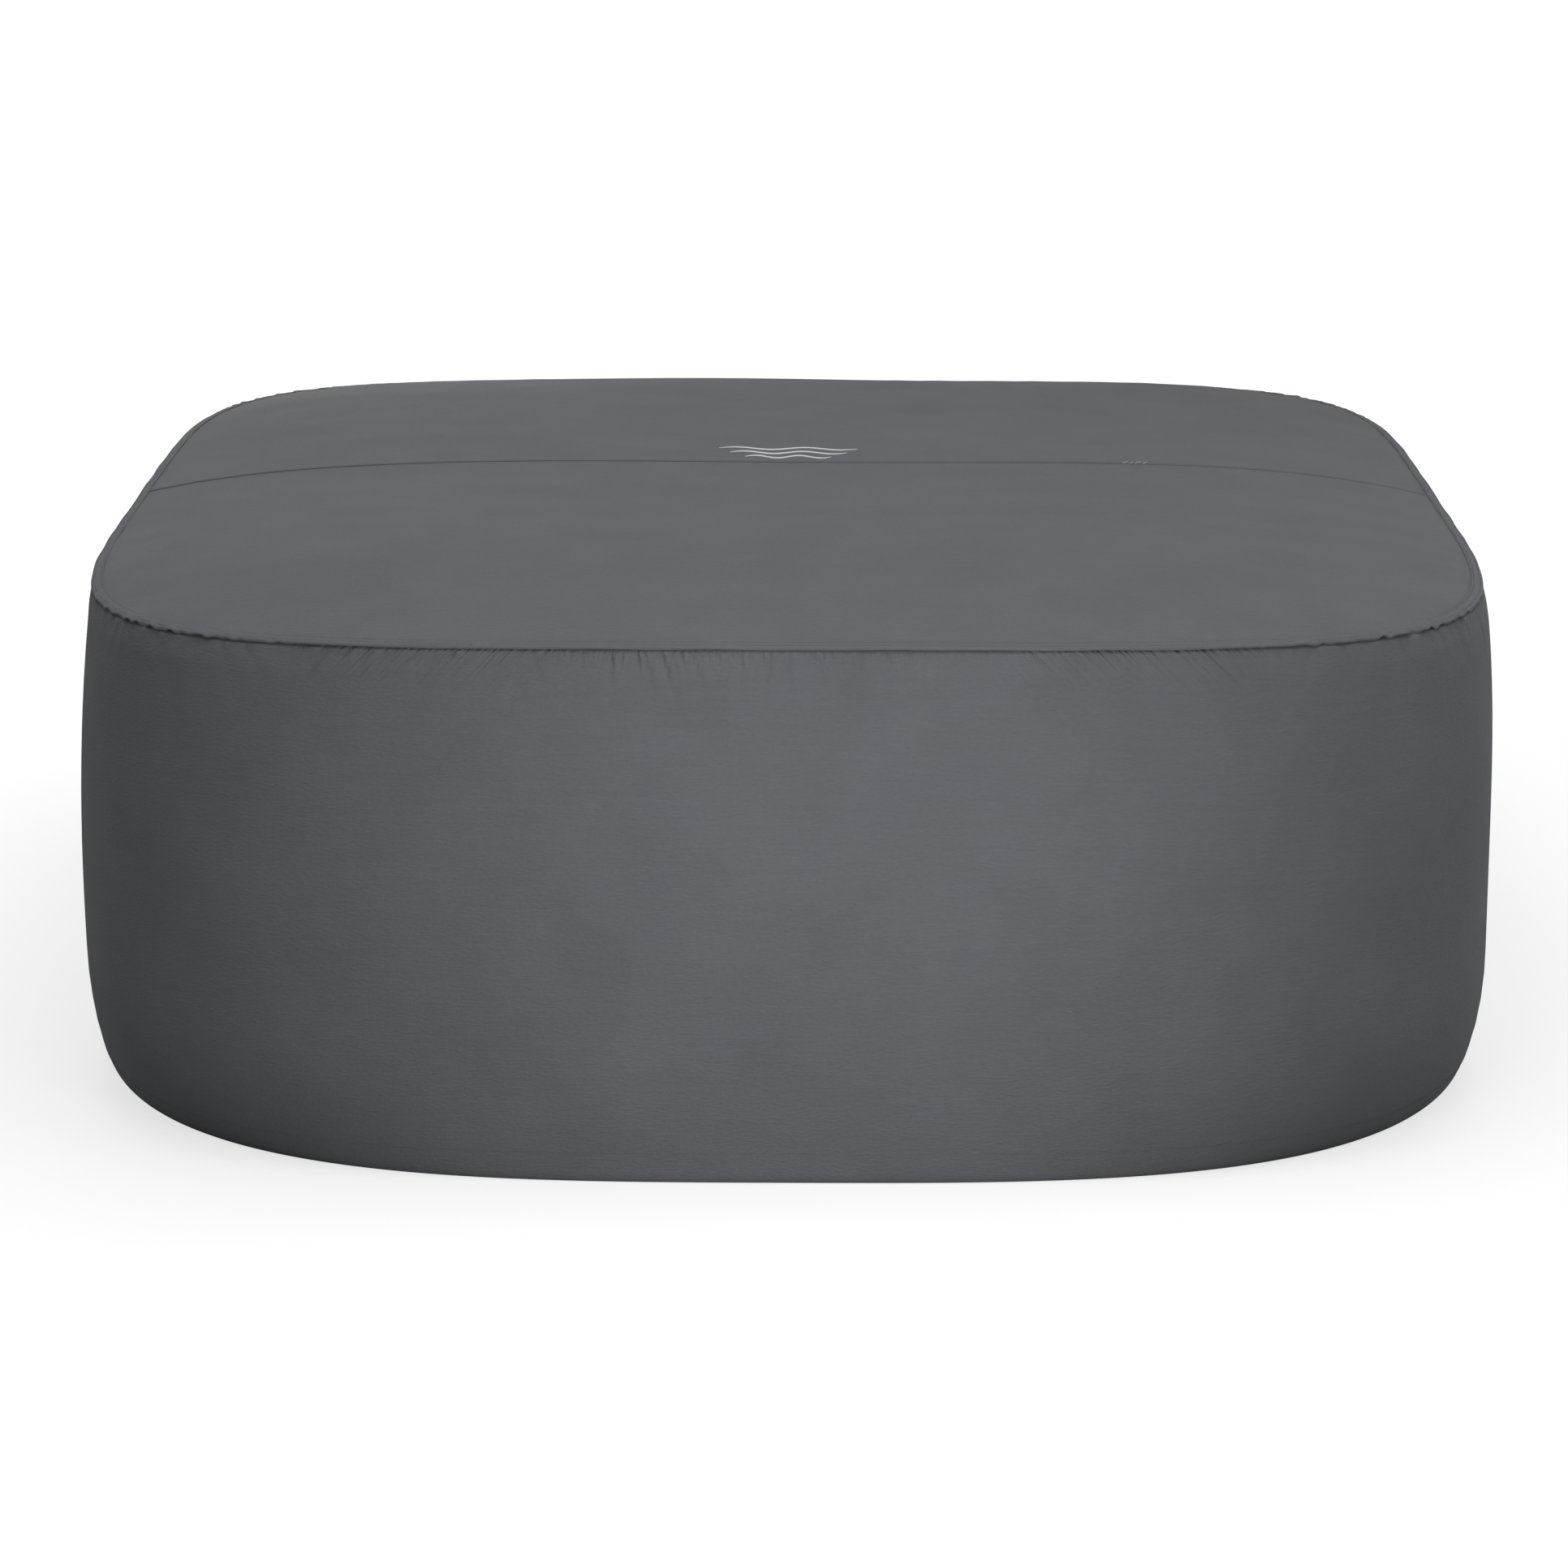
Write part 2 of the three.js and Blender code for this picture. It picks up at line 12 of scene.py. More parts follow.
import bpy
import numpy as np
from mathutils import Euler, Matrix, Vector


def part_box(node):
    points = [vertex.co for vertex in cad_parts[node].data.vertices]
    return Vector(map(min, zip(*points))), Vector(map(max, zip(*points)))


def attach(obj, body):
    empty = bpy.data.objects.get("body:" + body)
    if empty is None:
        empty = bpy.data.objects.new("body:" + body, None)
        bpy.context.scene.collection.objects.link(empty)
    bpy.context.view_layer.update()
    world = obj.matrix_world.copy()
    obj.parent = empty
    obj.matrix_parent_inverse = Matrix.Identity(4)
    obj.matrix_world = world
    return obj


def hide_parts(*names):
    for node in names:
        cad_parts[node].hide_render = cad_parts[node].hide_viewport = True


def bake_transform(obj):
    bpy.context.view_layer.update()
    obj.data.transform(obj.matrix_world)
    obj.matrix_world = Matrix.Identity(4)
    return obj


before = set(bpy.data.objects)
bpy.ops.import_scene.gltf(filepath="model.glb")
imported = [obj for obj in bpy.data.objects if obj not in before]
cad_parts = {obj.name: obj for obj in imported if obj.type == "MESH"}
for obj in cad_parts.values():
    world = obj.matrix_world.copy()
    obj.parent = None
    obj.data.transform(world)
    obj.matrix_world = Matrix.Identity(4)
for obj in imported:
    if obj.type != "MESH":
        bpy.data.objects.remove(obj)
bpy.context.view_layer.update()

log = logging.getLogger("spa_cover")
MM = 0.001
COVER = "cover"
FLAP = "pump_flap"
UV_NAME = "weave"

Array = np.ndarray
Piece = bpy.types.Object
Socket = bpy.types.NodeSocket
Colour = tuple[float, float, float]
Field = Callable[[Array, Array], Array]


# ---- the surface that the cloth follows ------------------------------------------------------------


@dataclass
class Shell:
    """The cover's outer surface: a rounded square plan that changes with height, and a domed top."""

    hem_power: float = 3.18
    belly_height: float = 178 * MM
    belly_power: float = 4.61
    seam_power: float = 4.95
    dome_power: float = 5.0
    draw_in: float = 8 * MM
    tuck_in: float = 1.6
    samples: int = 7200

    def __post_init__(self) -> None:
        """Reads the sizes from the frame and measures the way round the belly."""
        _, skirt_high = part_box("skirt_panel_front")
        top_low, top_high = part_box("top_panel_front")
        lip_low, lip_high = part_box("top_edge_lip")
        self.half_width = skirt_high.x
        self.seam_height = skirt_high.z
        self.seam_half_width = top_high.x - self.draw_in
        self.dome_top = top_high.z
        self.dome_edge = top_low.z + 1 * MM
        self.centre_y = (lip_low.y + lip_high.y) / 2
        self._angles = np.linspace(-90, 270, self.samples + 1)
        x, y = self._plan(np.radians(self._angles), self.half_width, self.belly_power)
        steps = np.hypot(np.diff(x), np.diff(y))
        self._lengths = np.concatenate([[0], np.cumsum(steps)])
        self.perimeter = float(self._lengths[-1])

    @staticmethod
    def _plan(angle: Array, a: Array | float, n: Array | float) -> tuple[Array, Array]:
        """A rounded square's points, |x|^n + |y|^n = a^n, at plan angles in radians."""
        c, s = np.cos(angle), np.sin(angle)
        radius = a / (np.abs(c) ** n + np.abs(s) ** n) ** (1 / n)
        return radius * c, radius * s

    def _profile(self, z: Array) -> tuple[Array, Array]:
        """The half-width and the power of the plan at each height."""
        rise = np.clip((z - self.belly_height) / (self.seam_height - self.belly_height), 0, 1.2)
        drop = np.clip((self.belly_height - z) / self.belly_height, 0, 1)
        a = self.half_width + (self.seam_half_width - self.half_width) * rise**3
        n = self.belly_power + (self.seam_power - self.belly_power) * rise
        return a, n + (self.hem_power - self.belly_power) * drop**self.tuck_in

    def wall(self, place: Array) -> Array:
        """Wraps flat points on to the wall.

        Args:
            place: rows of (way round from the front's middle, height, how far out), in metres.

        Returns:
            Rows of x, y and z.
        """
        round_it = np.mod(place[:, 0], self.perimeter)
        angle = np.radians(np.interp(round_it, self._lengths, self._angles))
        a, n = self._profile(place[:, 1])
        x, y = self._plan(angle, a + place[:, 2], n)
        return np.column_stack([x, y + self.centre_y, place[:, 1]])

    def dome(self, share: Array) -> Array:
        """Height of the top at each share of the way from its middle to its edge."""
        return self.dome_edge + (self.dome_top - self.dome_edge) * (1 - share**self.dome_power)

    def share(self, x: Array, y: Array) -> Array:
        """How far each point of the plan lies from the middle of the top to its edge."""
        n = self.seam_power
        return (np.abs(x) ** n + np.abs(y) ** n) ** (1 / n) / self.seam_half_width

    def top(self, place: Array) -> Array:
        """Lays flat points on the domed top.

        Args:
            place: rows of x, y from the shell's own middle, and how far out, in metres.

        Returns:
            Rows of x, y and z.
        """
        x, y, out = place.T
        return np.column_stack([x, y + self.centre_y, self.dome(self.share(x, y)) + out])

    def rim(self, round_it: Array, out: Array, up: Array) -> Array:
        """Points beside the sewn edge of the top, at distances out of it and above it."""
        angle = np.radians(np.interp(np.mod(round_it, self.perimeter), self._lengths, self._angles))
        x, y = self._plan(angle, self.seam_half_width + out, self.seam_power)
        return np.column_stack([x, y + self.centre_y, self.seam_height + up])

    def round_at(self, angle: float) -> float:
        """The way round from the front's middle to a plan angle in degrees, from -90 to 270."""
        return float(np.interp(angle, self._angles, self._lengths))

    def rear(self, x: float) -> float:
        """The way round to the point of the rear wall at a given x."""
        return self.round_at(90 - math.degrees(math.atan(x / self.half_width)))

    def corner(self, round_it: Array, reach: float = 0.26) -> Array:
        """A mask that is 1 at the plan's four corners and 0 further than a reach from them."""
        side = self.perimeter / 4
        away = np.abs(np.mod(round_it, side) - side / 2)
        return np.clip(1 - away / reach, 0, 1) ** 0.7


@dataclass
class Drift:
    """Slow irregular rise and fall of cloth: plane waves of random length and direction.

    With a period, the waves close on themselves after that way round.
    """

    seed: int
    shortest: float
    longest: float
    height: float
    stretch: float = 1.0
    waves: int = 9
    period: float = 0.0

    def at(self, u: Array, v: Array) -> Array:
        """The rise at each point."""
        rng = np.random.default_rng(self.seed)
        total = np.zeros_like(u)
        for _ in range(self.waves):
            length = rng.uniform(self.shortest, self.longest)
            turn, phase = rng.uniform(0, math.pi), rng.uniform(0, 2 * math.pi)
            across = math.cos(turn) / self.stretch / length
            if self.period:
                across = round(across * self.period) / self.period
            total += np.sin(2 * math.pi * (across * u + math.sin(turn) * v / length) + phase)
        return self.height * total / math.sqrt(self.waves)


@dataclass(frozen=True)
class GatherZone:
    """A stretch of a sewn edge along which the cloth is drawn in.

    The lean is the creases' slant, and the fan is how much it differs from crease to crease.
    """

    start: float
    end: float
    pitch: float
    height: float
    reach: float
    width: float = 2.4 * MM
    lean: float = 0.0
    fan: float = 0.12
    crisp: bool = False


@dataclass
class Gathers:
    """Short creases that run down the skirt from the seam."""

    seed: int
    top: float
    zones: Sequence[GatherZone]
    period: float
    flare: float = 1.5
    fade_power: float = 1.3
    ridge_at: float = 1.1
    sharp_trough: tuple[float, float] = (1.3, 1.7)
    soft_trough: tuple[float, float] = (1.2, 1.5)

    def at(self, u: Array, v: Array) -> Array:
        """How far out the creases stand at each flat point."""
        rng = np.random.default_rng(self.seed)
        total = np.zeros_like(u)
        for zone in self.zones:
            count = max(1, round((zone.end - zone.start) / zone.pitch))
            for number in range(count):
                place = zone.start + (number + rng.uniform(0.1, 0.9)) * (zone.end - zone.start) / count
                width = zone.width * rng.uniform(0.7, 1.6)
                reach = zone.reach * rng.uniform(0.4, 1.2)
                height = zone.height * rng.uniform(0.4, 1.0)
                lean = zone.lean + rng.uniform(-zone.fan, zone.fan)
                self._add(total, u, v, (place, width, reach, height, lean), zone.crisp)
        return total

    def _add(self, total: Array, u: Array, v: Array, crease: tuple[float, ...], crisp: bool) -> None:
        """Adds a crease, given as place, width, reach, height and lean, its trough sharp or soft."""
        place, width, reach, height, lean = crease
        down = np.maximum(self.top - v, 0)
        away = np.mod(u - place - lean * down + self.period / 2, self.period) - self.period / 2
        spread = width * (1 + self.flare * down / reach)
        near = (np.abs(away) < 3 * spread) & (down < reach)
        t = away[near] / spread[near]
        fade = np.cos(0.5 * math.pi * down[near] / reach) ** self.fade_power
        depth, narrow = self.sharp_trough if crisp else self.soft_trough
        trough = depth * np.exp(-narrow * (np.abs(t) if crisp else t**2))
        total[near] += height * fade * (np.exp(-((t - self.ridge_at) ** 2)) - trough)


# ---- work on one piece ------------------------------------------------------------------------------


class Bench:
    """Hand operations on one piece at a time."""

    @staticmethod
    def clear() -> None:
        """Puts everything down."""
        if bpy.context.object and bpy.context.object.mode != "OBJECT":
            bpy.ops.object.mode_set(mode="OBJECT")
        bpy.ops.object.select_all(action="DESELECT")

    @staticmethod
    def take(piece: Piece) -> None:
        """Makes the piece the only selected one, and the active one."""
        Bench.clear()
        piece.select_set(True)
        bpy.context.view_layer.objects.active = piece

    @staticmethod
    def start(name: str, primitive: Callable[..., set[str]], **settings: object) -> Piece:
        """Adds a primitive at its size and place, and names it.

        Args:
            name: the piece's name.
            primitive: the operator that adds it.
            **settings: the operator's own settings.

        Returns:
            The new piece.
        """
        Bench.clear()
        primitive(**settings)
        piece = bpy.context.object
        piece.name = piece.data.name = name
        Bench.settle(piece)
        return piece

    @staticmethod
    def settle(piece: Piece) -> None:
        """Moves the object's place, turn and size into its mesh."""
        Bench.take(piece)
        bpy.ops.object.transform_apply(location=True, rotation=True, scale=True)

    @staticmethod
    def places(piece: Piece) -> Array:
        """The piece's vertices as rows of three numbers."""
        flat = np.empty(len(piece.data.vertices) * 3)
        piece.data.vertices.foreach_get("co", flat)
        return flat.reshape(-1, 3)

    @staticmethod
    def move(piece: Piece, places: Array) -> None:
        """Puts the piece's vertices at new places."""
        piece.data.vertices.foreach_set("co", places.astype(np.float32).ravel())
        piece.data.update()

    @staticmethod
    def select(piece: Piece, wanted: Callable[[Array, Array], Array]) -> None:
        """Selects the faces whose centre and normal the rule wants."""
        Bench.take(piece)
        count = len(piece.data.polygons)
        centres, normals = np.empty(count * 3), np.empty(count * 3)
        piece.data.polygons.foreach_get("center", centres)
        piece.data.polygons.foreach_get("normal", normals)
        chosen = wanted(centres.reshape(-1, 3), normals.reshape(-1, 3))
        piece.data.vertices.foreach_set("select", np.zeros(len(piece.data.vertices), bool))
        piece.data.edges.foreach_set("select", np.zeros(len(piece.data.edges), bool))
        piece.data.polygons.foreach_set("select", chosen.astype(bool))
        bpy.ops.object.mode_set(mode="EDIT")
        bpy.ops.mesh.select_mode(type="FACE")
        bpy.ops.object.mode_set(mode="OBJECT")

    @staticmethod
    def select_edges(piece: Piece, wanted: Callable[[Array, Array], bool]) -> None:
        """Selects the edges whose two ends the rule wants."""
        Bench.take(piece)
        bpy.ops.object.mode_set(mode="EDIT")
        bpy.ops.mesh.select_mode(type="EDGE")
        bpy.ops.mesh.select_all(action="DESELECT")
        bpy.ops.object.mode_set(mode="OBJECT")
        places = Bench.places(piece)
        for edge in piece.data.edges:
            edge.select = bool(wanted(places[edge.vertices[0]], places[edge.vertices[1]]))

    @staticmethod
    def edit(piece: Piece, operator: Callable[..., set[str]], **settings: object) -> None:
        """Runs one edit-mode operator on what is selected."""
        bpy.context.view_layer.objects.active = piece
        bpy.ops.object.mode_set(mode="EDIT")
        operator(**settings)
        bpy.ops.object.mode_set(mode="OBJECT")

    @staticmethod
    def apply(piece: Piece, kind: str, **settings: object) -> None:
        """Adds a modifier with its settings and applies it."""
        Bench.take(piece)
        modifier = piece.modifiers.new(kind.lower(), kind)
        for key, value in settings.items():
            setattr(modifier, key, value)
        bpy.ops.object.modifier_apply(modifier=modifier.name)

    @staticmethod
    def face_out(piece: Piece) -> None:
        """Turns all faces outwards."""
        Bench.select(piece, lambda centres, normals: np.ones(len(centres), bool))
        Bench.edit(piece, bpy.ops.mesh.normals_make_consistent, inside=False)

    @staticmethod
    def smooth(piece: Piece, angle: float = 40.0) -> None:
        """Shades the piece smooth, but for edges sharper than an angle in degrees."""
        Bench.take(piece)
        bpy.ops.object.shade_smooth_by_angle(angle=math.radians(angle))

    @staticmethod
    def lay_weave(piece: Piece, flat: Array, turn: float = 0.0) -> None:
        """Writes the flat places as the UV map that the weave follows.

        Args:
            piece: the mesh.
            flat: a row per vertex; the first two numbers are its flat place, in metres.
            turn: the way round a closed piece, so that its last faces don't run back to the start.
        """
        layers = piece.data.uv_layers
        while layers:
            layers.remove(layers[0])
        layer = layers.new(name=UV_NAME)
        corners = np.empty(len(piece.data.loops), np.int64)
        piece.data.loops.foreach_get("vertex_index", corners)
        places = flat[corners, :2].astype(np.float32)
        if turn:
            faces = piece.data.polygons
            owner = np.repeat(np.arange(len(faces)), [len(face.vertices) for face in faces])
            furthest = np.zeros(len(faces))
            np.maximum.at(furthest, owner, places[:, 0])
            places[:, 0] += turn * (furthest[owner] - places[:, 0] > turn / 2)
        layer.data.foreach_set("uv", places.ravel())

    @staticmethod
    def cut_sheet(name: str, low: Vector, high: Vector, cell: float) -> Piece:
        """Starts a flat rectangular sheet, at its size and place, with cells of about one size."""
        width, length = high.x - low.x, high.y - low.y
        across, up = max(2, round(width / cell)), max(2, round(length / cell))
        piece = Bench.start(
            name,
            bpy.ops.mesh.primitive_grid_add,
            x_subdivisions=across,
            y_subdivisions=up,
            size=1,
            location=((low.x + high.x) / 2, (low.y + high.y) / 2, high.z),
            scale=(width, length, 1),
        )
        places = Bench.places(piece)
        middle = np.array([(low.x + high.x) / 2, (low.y + high.y) / 2])
        extent = places[:, :2].max(0) - places[:, :2].min(0)
        places[:, :2] = middle + (places[:, :2] - middle) * np.array([width, length]) / extent
        Bench.move(piece, places)
        return piece

    @staticmethod
    def slab(name: str, low: Vector, high: Vector, cell: float, rounding: float = 0.0) -> Piece:
        """A flat sheet with its thickness, and its rim rounded if a rounding is given."""
        piece = Bench.cut_sheet(name, low, high, cell)
        Bench.apply(piece, "SOLIDIFY", thickness=high.z - low.z, offset=-1)
        if rounding:
            Bench.round_rim(piece, rounding)
        return piece

    @staticmethod
    def round_rim(piece: Piece, rounding: float) -> None:
        """Rounds the piece's sharp edges."""
        Bench.apply(piece, "BEVEL", width=rounding, segments=2, limit_method="ANGLE")

    @staticmethod
    def join(name: str, parts: Sequence[Piece]) -> Piece:
        """Joins parts into the first and names it."""
        Bench.take(parts[0])
        for part in parts:
            part.select_set(True)
        bpy.ops.object.join()
        parts[0].name = parts[0].data.name = name
        return parts[0]


# ---- finishes ---------------------------------------------------------------------------------------


class Nodes:
    """A short way to write a node tree."""

    def __init__(self, tree: bpy.types.NodeTree) -> None:
        """Works on one tree."""
        self.tree = tree

    def add(
        self, kind: str, inputs: dict[int | str, object] | None = None, **settings: object
    ) -> bpy.types.Node:
        """Adds a node.

        Args:
            kind: the node's type.
            inputs: its inputs by name or number, each a value or another node's output.
            **settings: its own settings.

        Returns:
            The node.
        """
        node = self.tree.nodes.new(kind)
        for key, value in settings.items():
            setattr(node, key, value)
        for key, value in (inputs or {}).items():
            if isinstance(value, Socket):
                self.tree.links.new(value, node.inputs[key])
            else:
                node.inputs[key].default_value = value
        return node

    def math(self, operation: str, *values: object) -> Socket:
        """One Math node's result."""
        return self.add("ShaderNodeMath", dict(enumerate(values)), operation=operation).outputs[0]

    def mix(self, share: object, first: object, second: object, blend: str = "MIX") -> Socket:
        """Two colours mixed."""
        values = {0: share, 6: first, 7: second}
        return self.add("ShaderNodeMix", values, data_type="RGBA", blend_type=blend).outputs[2]

    def noise(self, vector: object, scale: float, detail: float, rough: float = 0.5) -> Socket:
        """A noise texture's value."""
        values = {"Vector": vector, "Scale": scale, "Detail": detail, "Roughness": rough}
        return self.add("ShaderNodeTexNoise", values).outputs[0]

    def spread(self, value: object, low: float, high: float) -> Socket:
        """A value from 0 to 1 spread between two others."""
        return self.add("ShaderNodeMapRange", {0: value, 3: low, 4: high}).outputs[0]


class Effects:
    """Shader node groups that several finishes share, each built once."""

    _built: dict[str, bpy.types.NodeTree] = {}

    @classmethod
    def _group(
        cls,
        name: str,
        takes: dict[str, str],
        gives: Sequence[str],
        fill: Callable[[Nodes, bpy.types.Node], Sequence[Socket]],
    ) -> bpy.types.NodeTree:
        """Builds a group with named sockets, unless it is there already."""
        if name in cls._built:
            return cls._built[name]
        tree = bpy.data.node_groups.new(name, "ShaderNodeTree")
        for socket, kind in takes.items():
            tree.interface.new_socket(socket, in_out="INPUT", socket_type=kind)
        for socket in gives:
            tree.interface.new_socket(socket, in_out="OUTPUT", socket_type="NodeSocketFloat")
        nodes = Nodes(tree)
        source = nodes.add("NodeGroupInput")
        target = nodes.add("NodeGroupOutput")
        for number, result in enumerate(fill(nodes, source)):
            tree.links.new(result, target.inputs[number])
        cls._built[name] = tree
        return tree

    @classmethod
    def plain_weave(cls) -> bpy.types.NodeTree:
        """Threads over and under each other: Vector and Threads per metre to Height."""

        def fill(nodes: Nodes, source: bpy.types.Node) -> list[Socket]:
            """Wires the group."""
            place = nodes.add("ShaderNodeSeparateXYZ", {0: source.outputs["Vector"]})
            half_turns = nodes.math("MULTIPLY", source.outputs["Threads"], math.pi)
            warp = nodes.math("SINE", nodes.math("MULTIPLY", place.outputs[0], half_turns))
            weft = nodes.math("SINE", nodes.math("MULTIPLY", place.outputs[1], half_turns))
            over = nodes.math("GREATER_THAN", nodes.math("MULTIPLY", warp, weft), 0.0)
            high = nodes.math("MULTIPLY", nodes.math("ABSOLUTE", warp), over)
            low = nodes.math("MULTIPLY", nodes.math("ABSOLUTE", weft), nodes.math("SUBTRACT", 1.0, over))
            return [nodes.math("ADD", high, low)]

        takes = {"Vector": "NodeSocketVector", "Threads": "NodeSocketFloat"}
        return cls._group("plain_weave", takes, ["Height"], fill)

    @classmethod
    def slubs(cls) -> bpy.types.NodeTree:
        """Thicker and thinner weft threads: Vector, Length and Height of a slub to Shade."""

        def fill(nodes: Nodes, source: bpy.types.Node) -> list[Socket]:
            """Wires the group."""
            place = nodes.add("ShaderNodeSeparateXYZ", {0: source.outputs["Vector"]})
            across = nodes.math("DIVIDE", place.outputs[0], source.outputs["Length"])
            up = nodes.math("DIVIDE", place.outputs[1], source.outputs["Height"])
            stretched = nodes.add("ShaderNodeCombineXYZ", {0: across, 1: up}).outputs[0]
            return [nodes.noise(stretched, 1.0, 3.0, 0.6)]

        takes = {"Vector": "NodeSocketVector", "Length": "NodeSocketFloat", "Height": "NodeSocketFloat"}
        return cls._group("slubs", takes, ["Shade"], fill)

    @classmethod
    def blotches(cls) -> bpy.types.NodeTree:
        """Soft patches of dye: Vector and Size to Shade and Tint."""

        def fill(nodes: Nodes, source: bpy.types.Node) -> list[Socket]:
            """Wires the group."""
            scale = nodes.math("DIVIDE", 1.0, source.outputs["Size"])
            shade = nodes.noise(source.outputs["Vector"], scale, 3.0, 0.55)
            elsewhere = {0: source.outputs["Vector"], 1: (3.1, 7.7, 1.9)}
            moved = nodes.add("ShaderNodeVectorMath", elsewhere).outputs[0]
            return [shade, nodes.noise(moved, scale, 2.0, 0.5)]

        takes = {"Vector": "NodeSocketVector", "Size": "NodeSocketFloat"}
        return cls._group("blotches", takes, ["Shade", "Tint"], fill)

    @classmethod
    def pulls(cls) -> bpy.types.NodeTree:
        """Fine creases that run down from a seam, slanting away from the middle, to Height.

        They lie between a Start and an End on both sides of the middle, and fade out at Reach below the seam.
        """
        start_fade, end_fade, seam_fade = 0.06, 0.08, 4 * MM
        length_in_pitches = 14.0

        def fill(nodes: Nodes, source: bpy.types.Node) -> list[Socket]:
            """Wires the group."""
            give = source.outputs
            place = nodes.add("ShaderNodeSeparateXYZ", {0: give["Vector"]})
            away = nodes.math("ABSOLUTE", place.outputs[0])
            down = nodes.math("SUBTRACT", give["Seam"], place.outputs[1])
            slant = nodes.math("MULTIPLY", nodes.math("SIGN", place.outputs[0]), give["Lean"])
            across = nodes.math("SUBTRACT", place.outputs[0], nodes.math("MULTIPLY", slant, down))
            length = nodes.math("MULTIPLY", give["Pitch"], length_in_pitches)
            cells = {0: nodes.math("DIVIDE", across, give["Pitch"]), 1: nodes.math("DIVIDE", down, length)}
            stretched = nodes.add("ShaderNodeCombineXYZ", cells).outputs[0]
            crease = nodes.math("SUBTRACT", nodes.noise(stretched, 1.0, 2.0, 0.5), 0.5)
            full_from = nodes.math("ADD", give["Start"], start_fade)
            full_to = nodes.math("SUBTRACT", give["End"], end_fade)
            inner = nodes.add("ShaderNodeMapRange", {0: away, 1: give["Start"], 2: full_from})
            outer = nodes.add("ShaderNodeMapRange", {0: away, 1: give["End"], 2: full_to})
            fade = nodes.add("ShaderNodeMapRange", {0: down, 1: give["Reach"], 2: seam_fade}).outputs[0]
            mask = nodes.math("MULTIPLY", inner.outputs[0], outer.outputs[0])
            return [nodes.math("MULTIPLY", crease, nodes.math("MULTIPLY", mask, fade))]

        names = ("Seam", "Lean", "Pitch", "Start", "End", "Reach")
        takes = {"Vector": "NodeSocketVector", **{name: "NodeSocketFloat" for name in names}}
        return cls._group("pulls", takes, ["Height"], fill)

    @classmethod
    def grime(cls) -> bpy.types.NodeTree:
        """Dust that gathers low on the cover: Vector and Top of the dust to Mask."""

        def fill(nodes: Nodes, source: bpy.types.Node) -> list[Socket]:
            """Wires the group."""
            height = nodes.add("ShaderNodeSeparateXYZ", {0: source.outputs["Vector"]}).outputs[2]
            share = nodes.math("DIVIDE", height, source.outputs["Top"])
            fall = nodes.math("MAXIMUM", nodes.math("SUBTRACT", 1.0, share), 0.0)
            return [nodes.math("MULTIPLY", fall, nodes.noise(source.outputs["Vector"], 14.0, 4.0, 0.6))]

        takes = {"Vector": "NodeSocketVector", "Top": "NodeSocketFloat"}
        return cls._group("grime", takes, ["Mask"], fill)


@dataclass(frozen=True)
class Finish:
    """What every finish shares: a name, a colour and how rough it is."""

    name: str
    colour: Colour
    roughness: float = 0.85

    def material(self) -> bpy.types.Material:
        """The finish as a material, made the first time it is asked for."""
        known = bpy.data.materials.get(self.name)
        if known:
            return known
        made = bpy.data.materials.new(self.name)
        made.use_nodes = True
        made.node_tree.nodes.clear()
        nodes = Nodes(made.node_tree)
        output = nodes.add("ShaderNodeOutputMaterial")
        shader = nodes.add("ShaderNodeBsdfPrincipled")
        made.node_tree.links.new(shader.outputs[0], output.inputs[0])
        made.diffuse_color = (*self.colour, 1.0)
        self.wire(nodes, shader)
        return made

    def wire(self, nodes: Nodes, shader: bpy.types.Node) -> None:
        """Each kind of finish wires its own shader."""
        raise NotImplementedError

    @staticmethod
    def uv(nodes: Nodes) -> Socket:
        """The flat place, in metres."""
        return nodes.add("ShaderNodeUVMap", uv_map=UV_NAME).outputs[0]

    @staticmethod
    def room(nodes: Nodes) -> Socket:
        """The place in the object's own coordinates."""
        return nodes.add("ShaderNodeTexCoord").outputs["Object"]

    @staticmethod
    def use(nodes: Nodes, group: bpy.types.NodeTree, **values: object) -> bpy.types.Node:
        """Places a shared effect with its own values."""
        return nodes.add("ShaderNodeGroup", values, node_tree=group)

    @staticmethod
    def bump(nodes: Nodes, shader: bpy.types.Node, height: object, depth: float) -> None:
        """Gives the shader a bump, its depth in metres."""
        values = {"Height": height, "Distance": depth, "Strength": 1.0}
        nodes.tree.links.new(nodes.add("ShaderNodeBump", values).outputs[0], shader.inputs["Normal"])


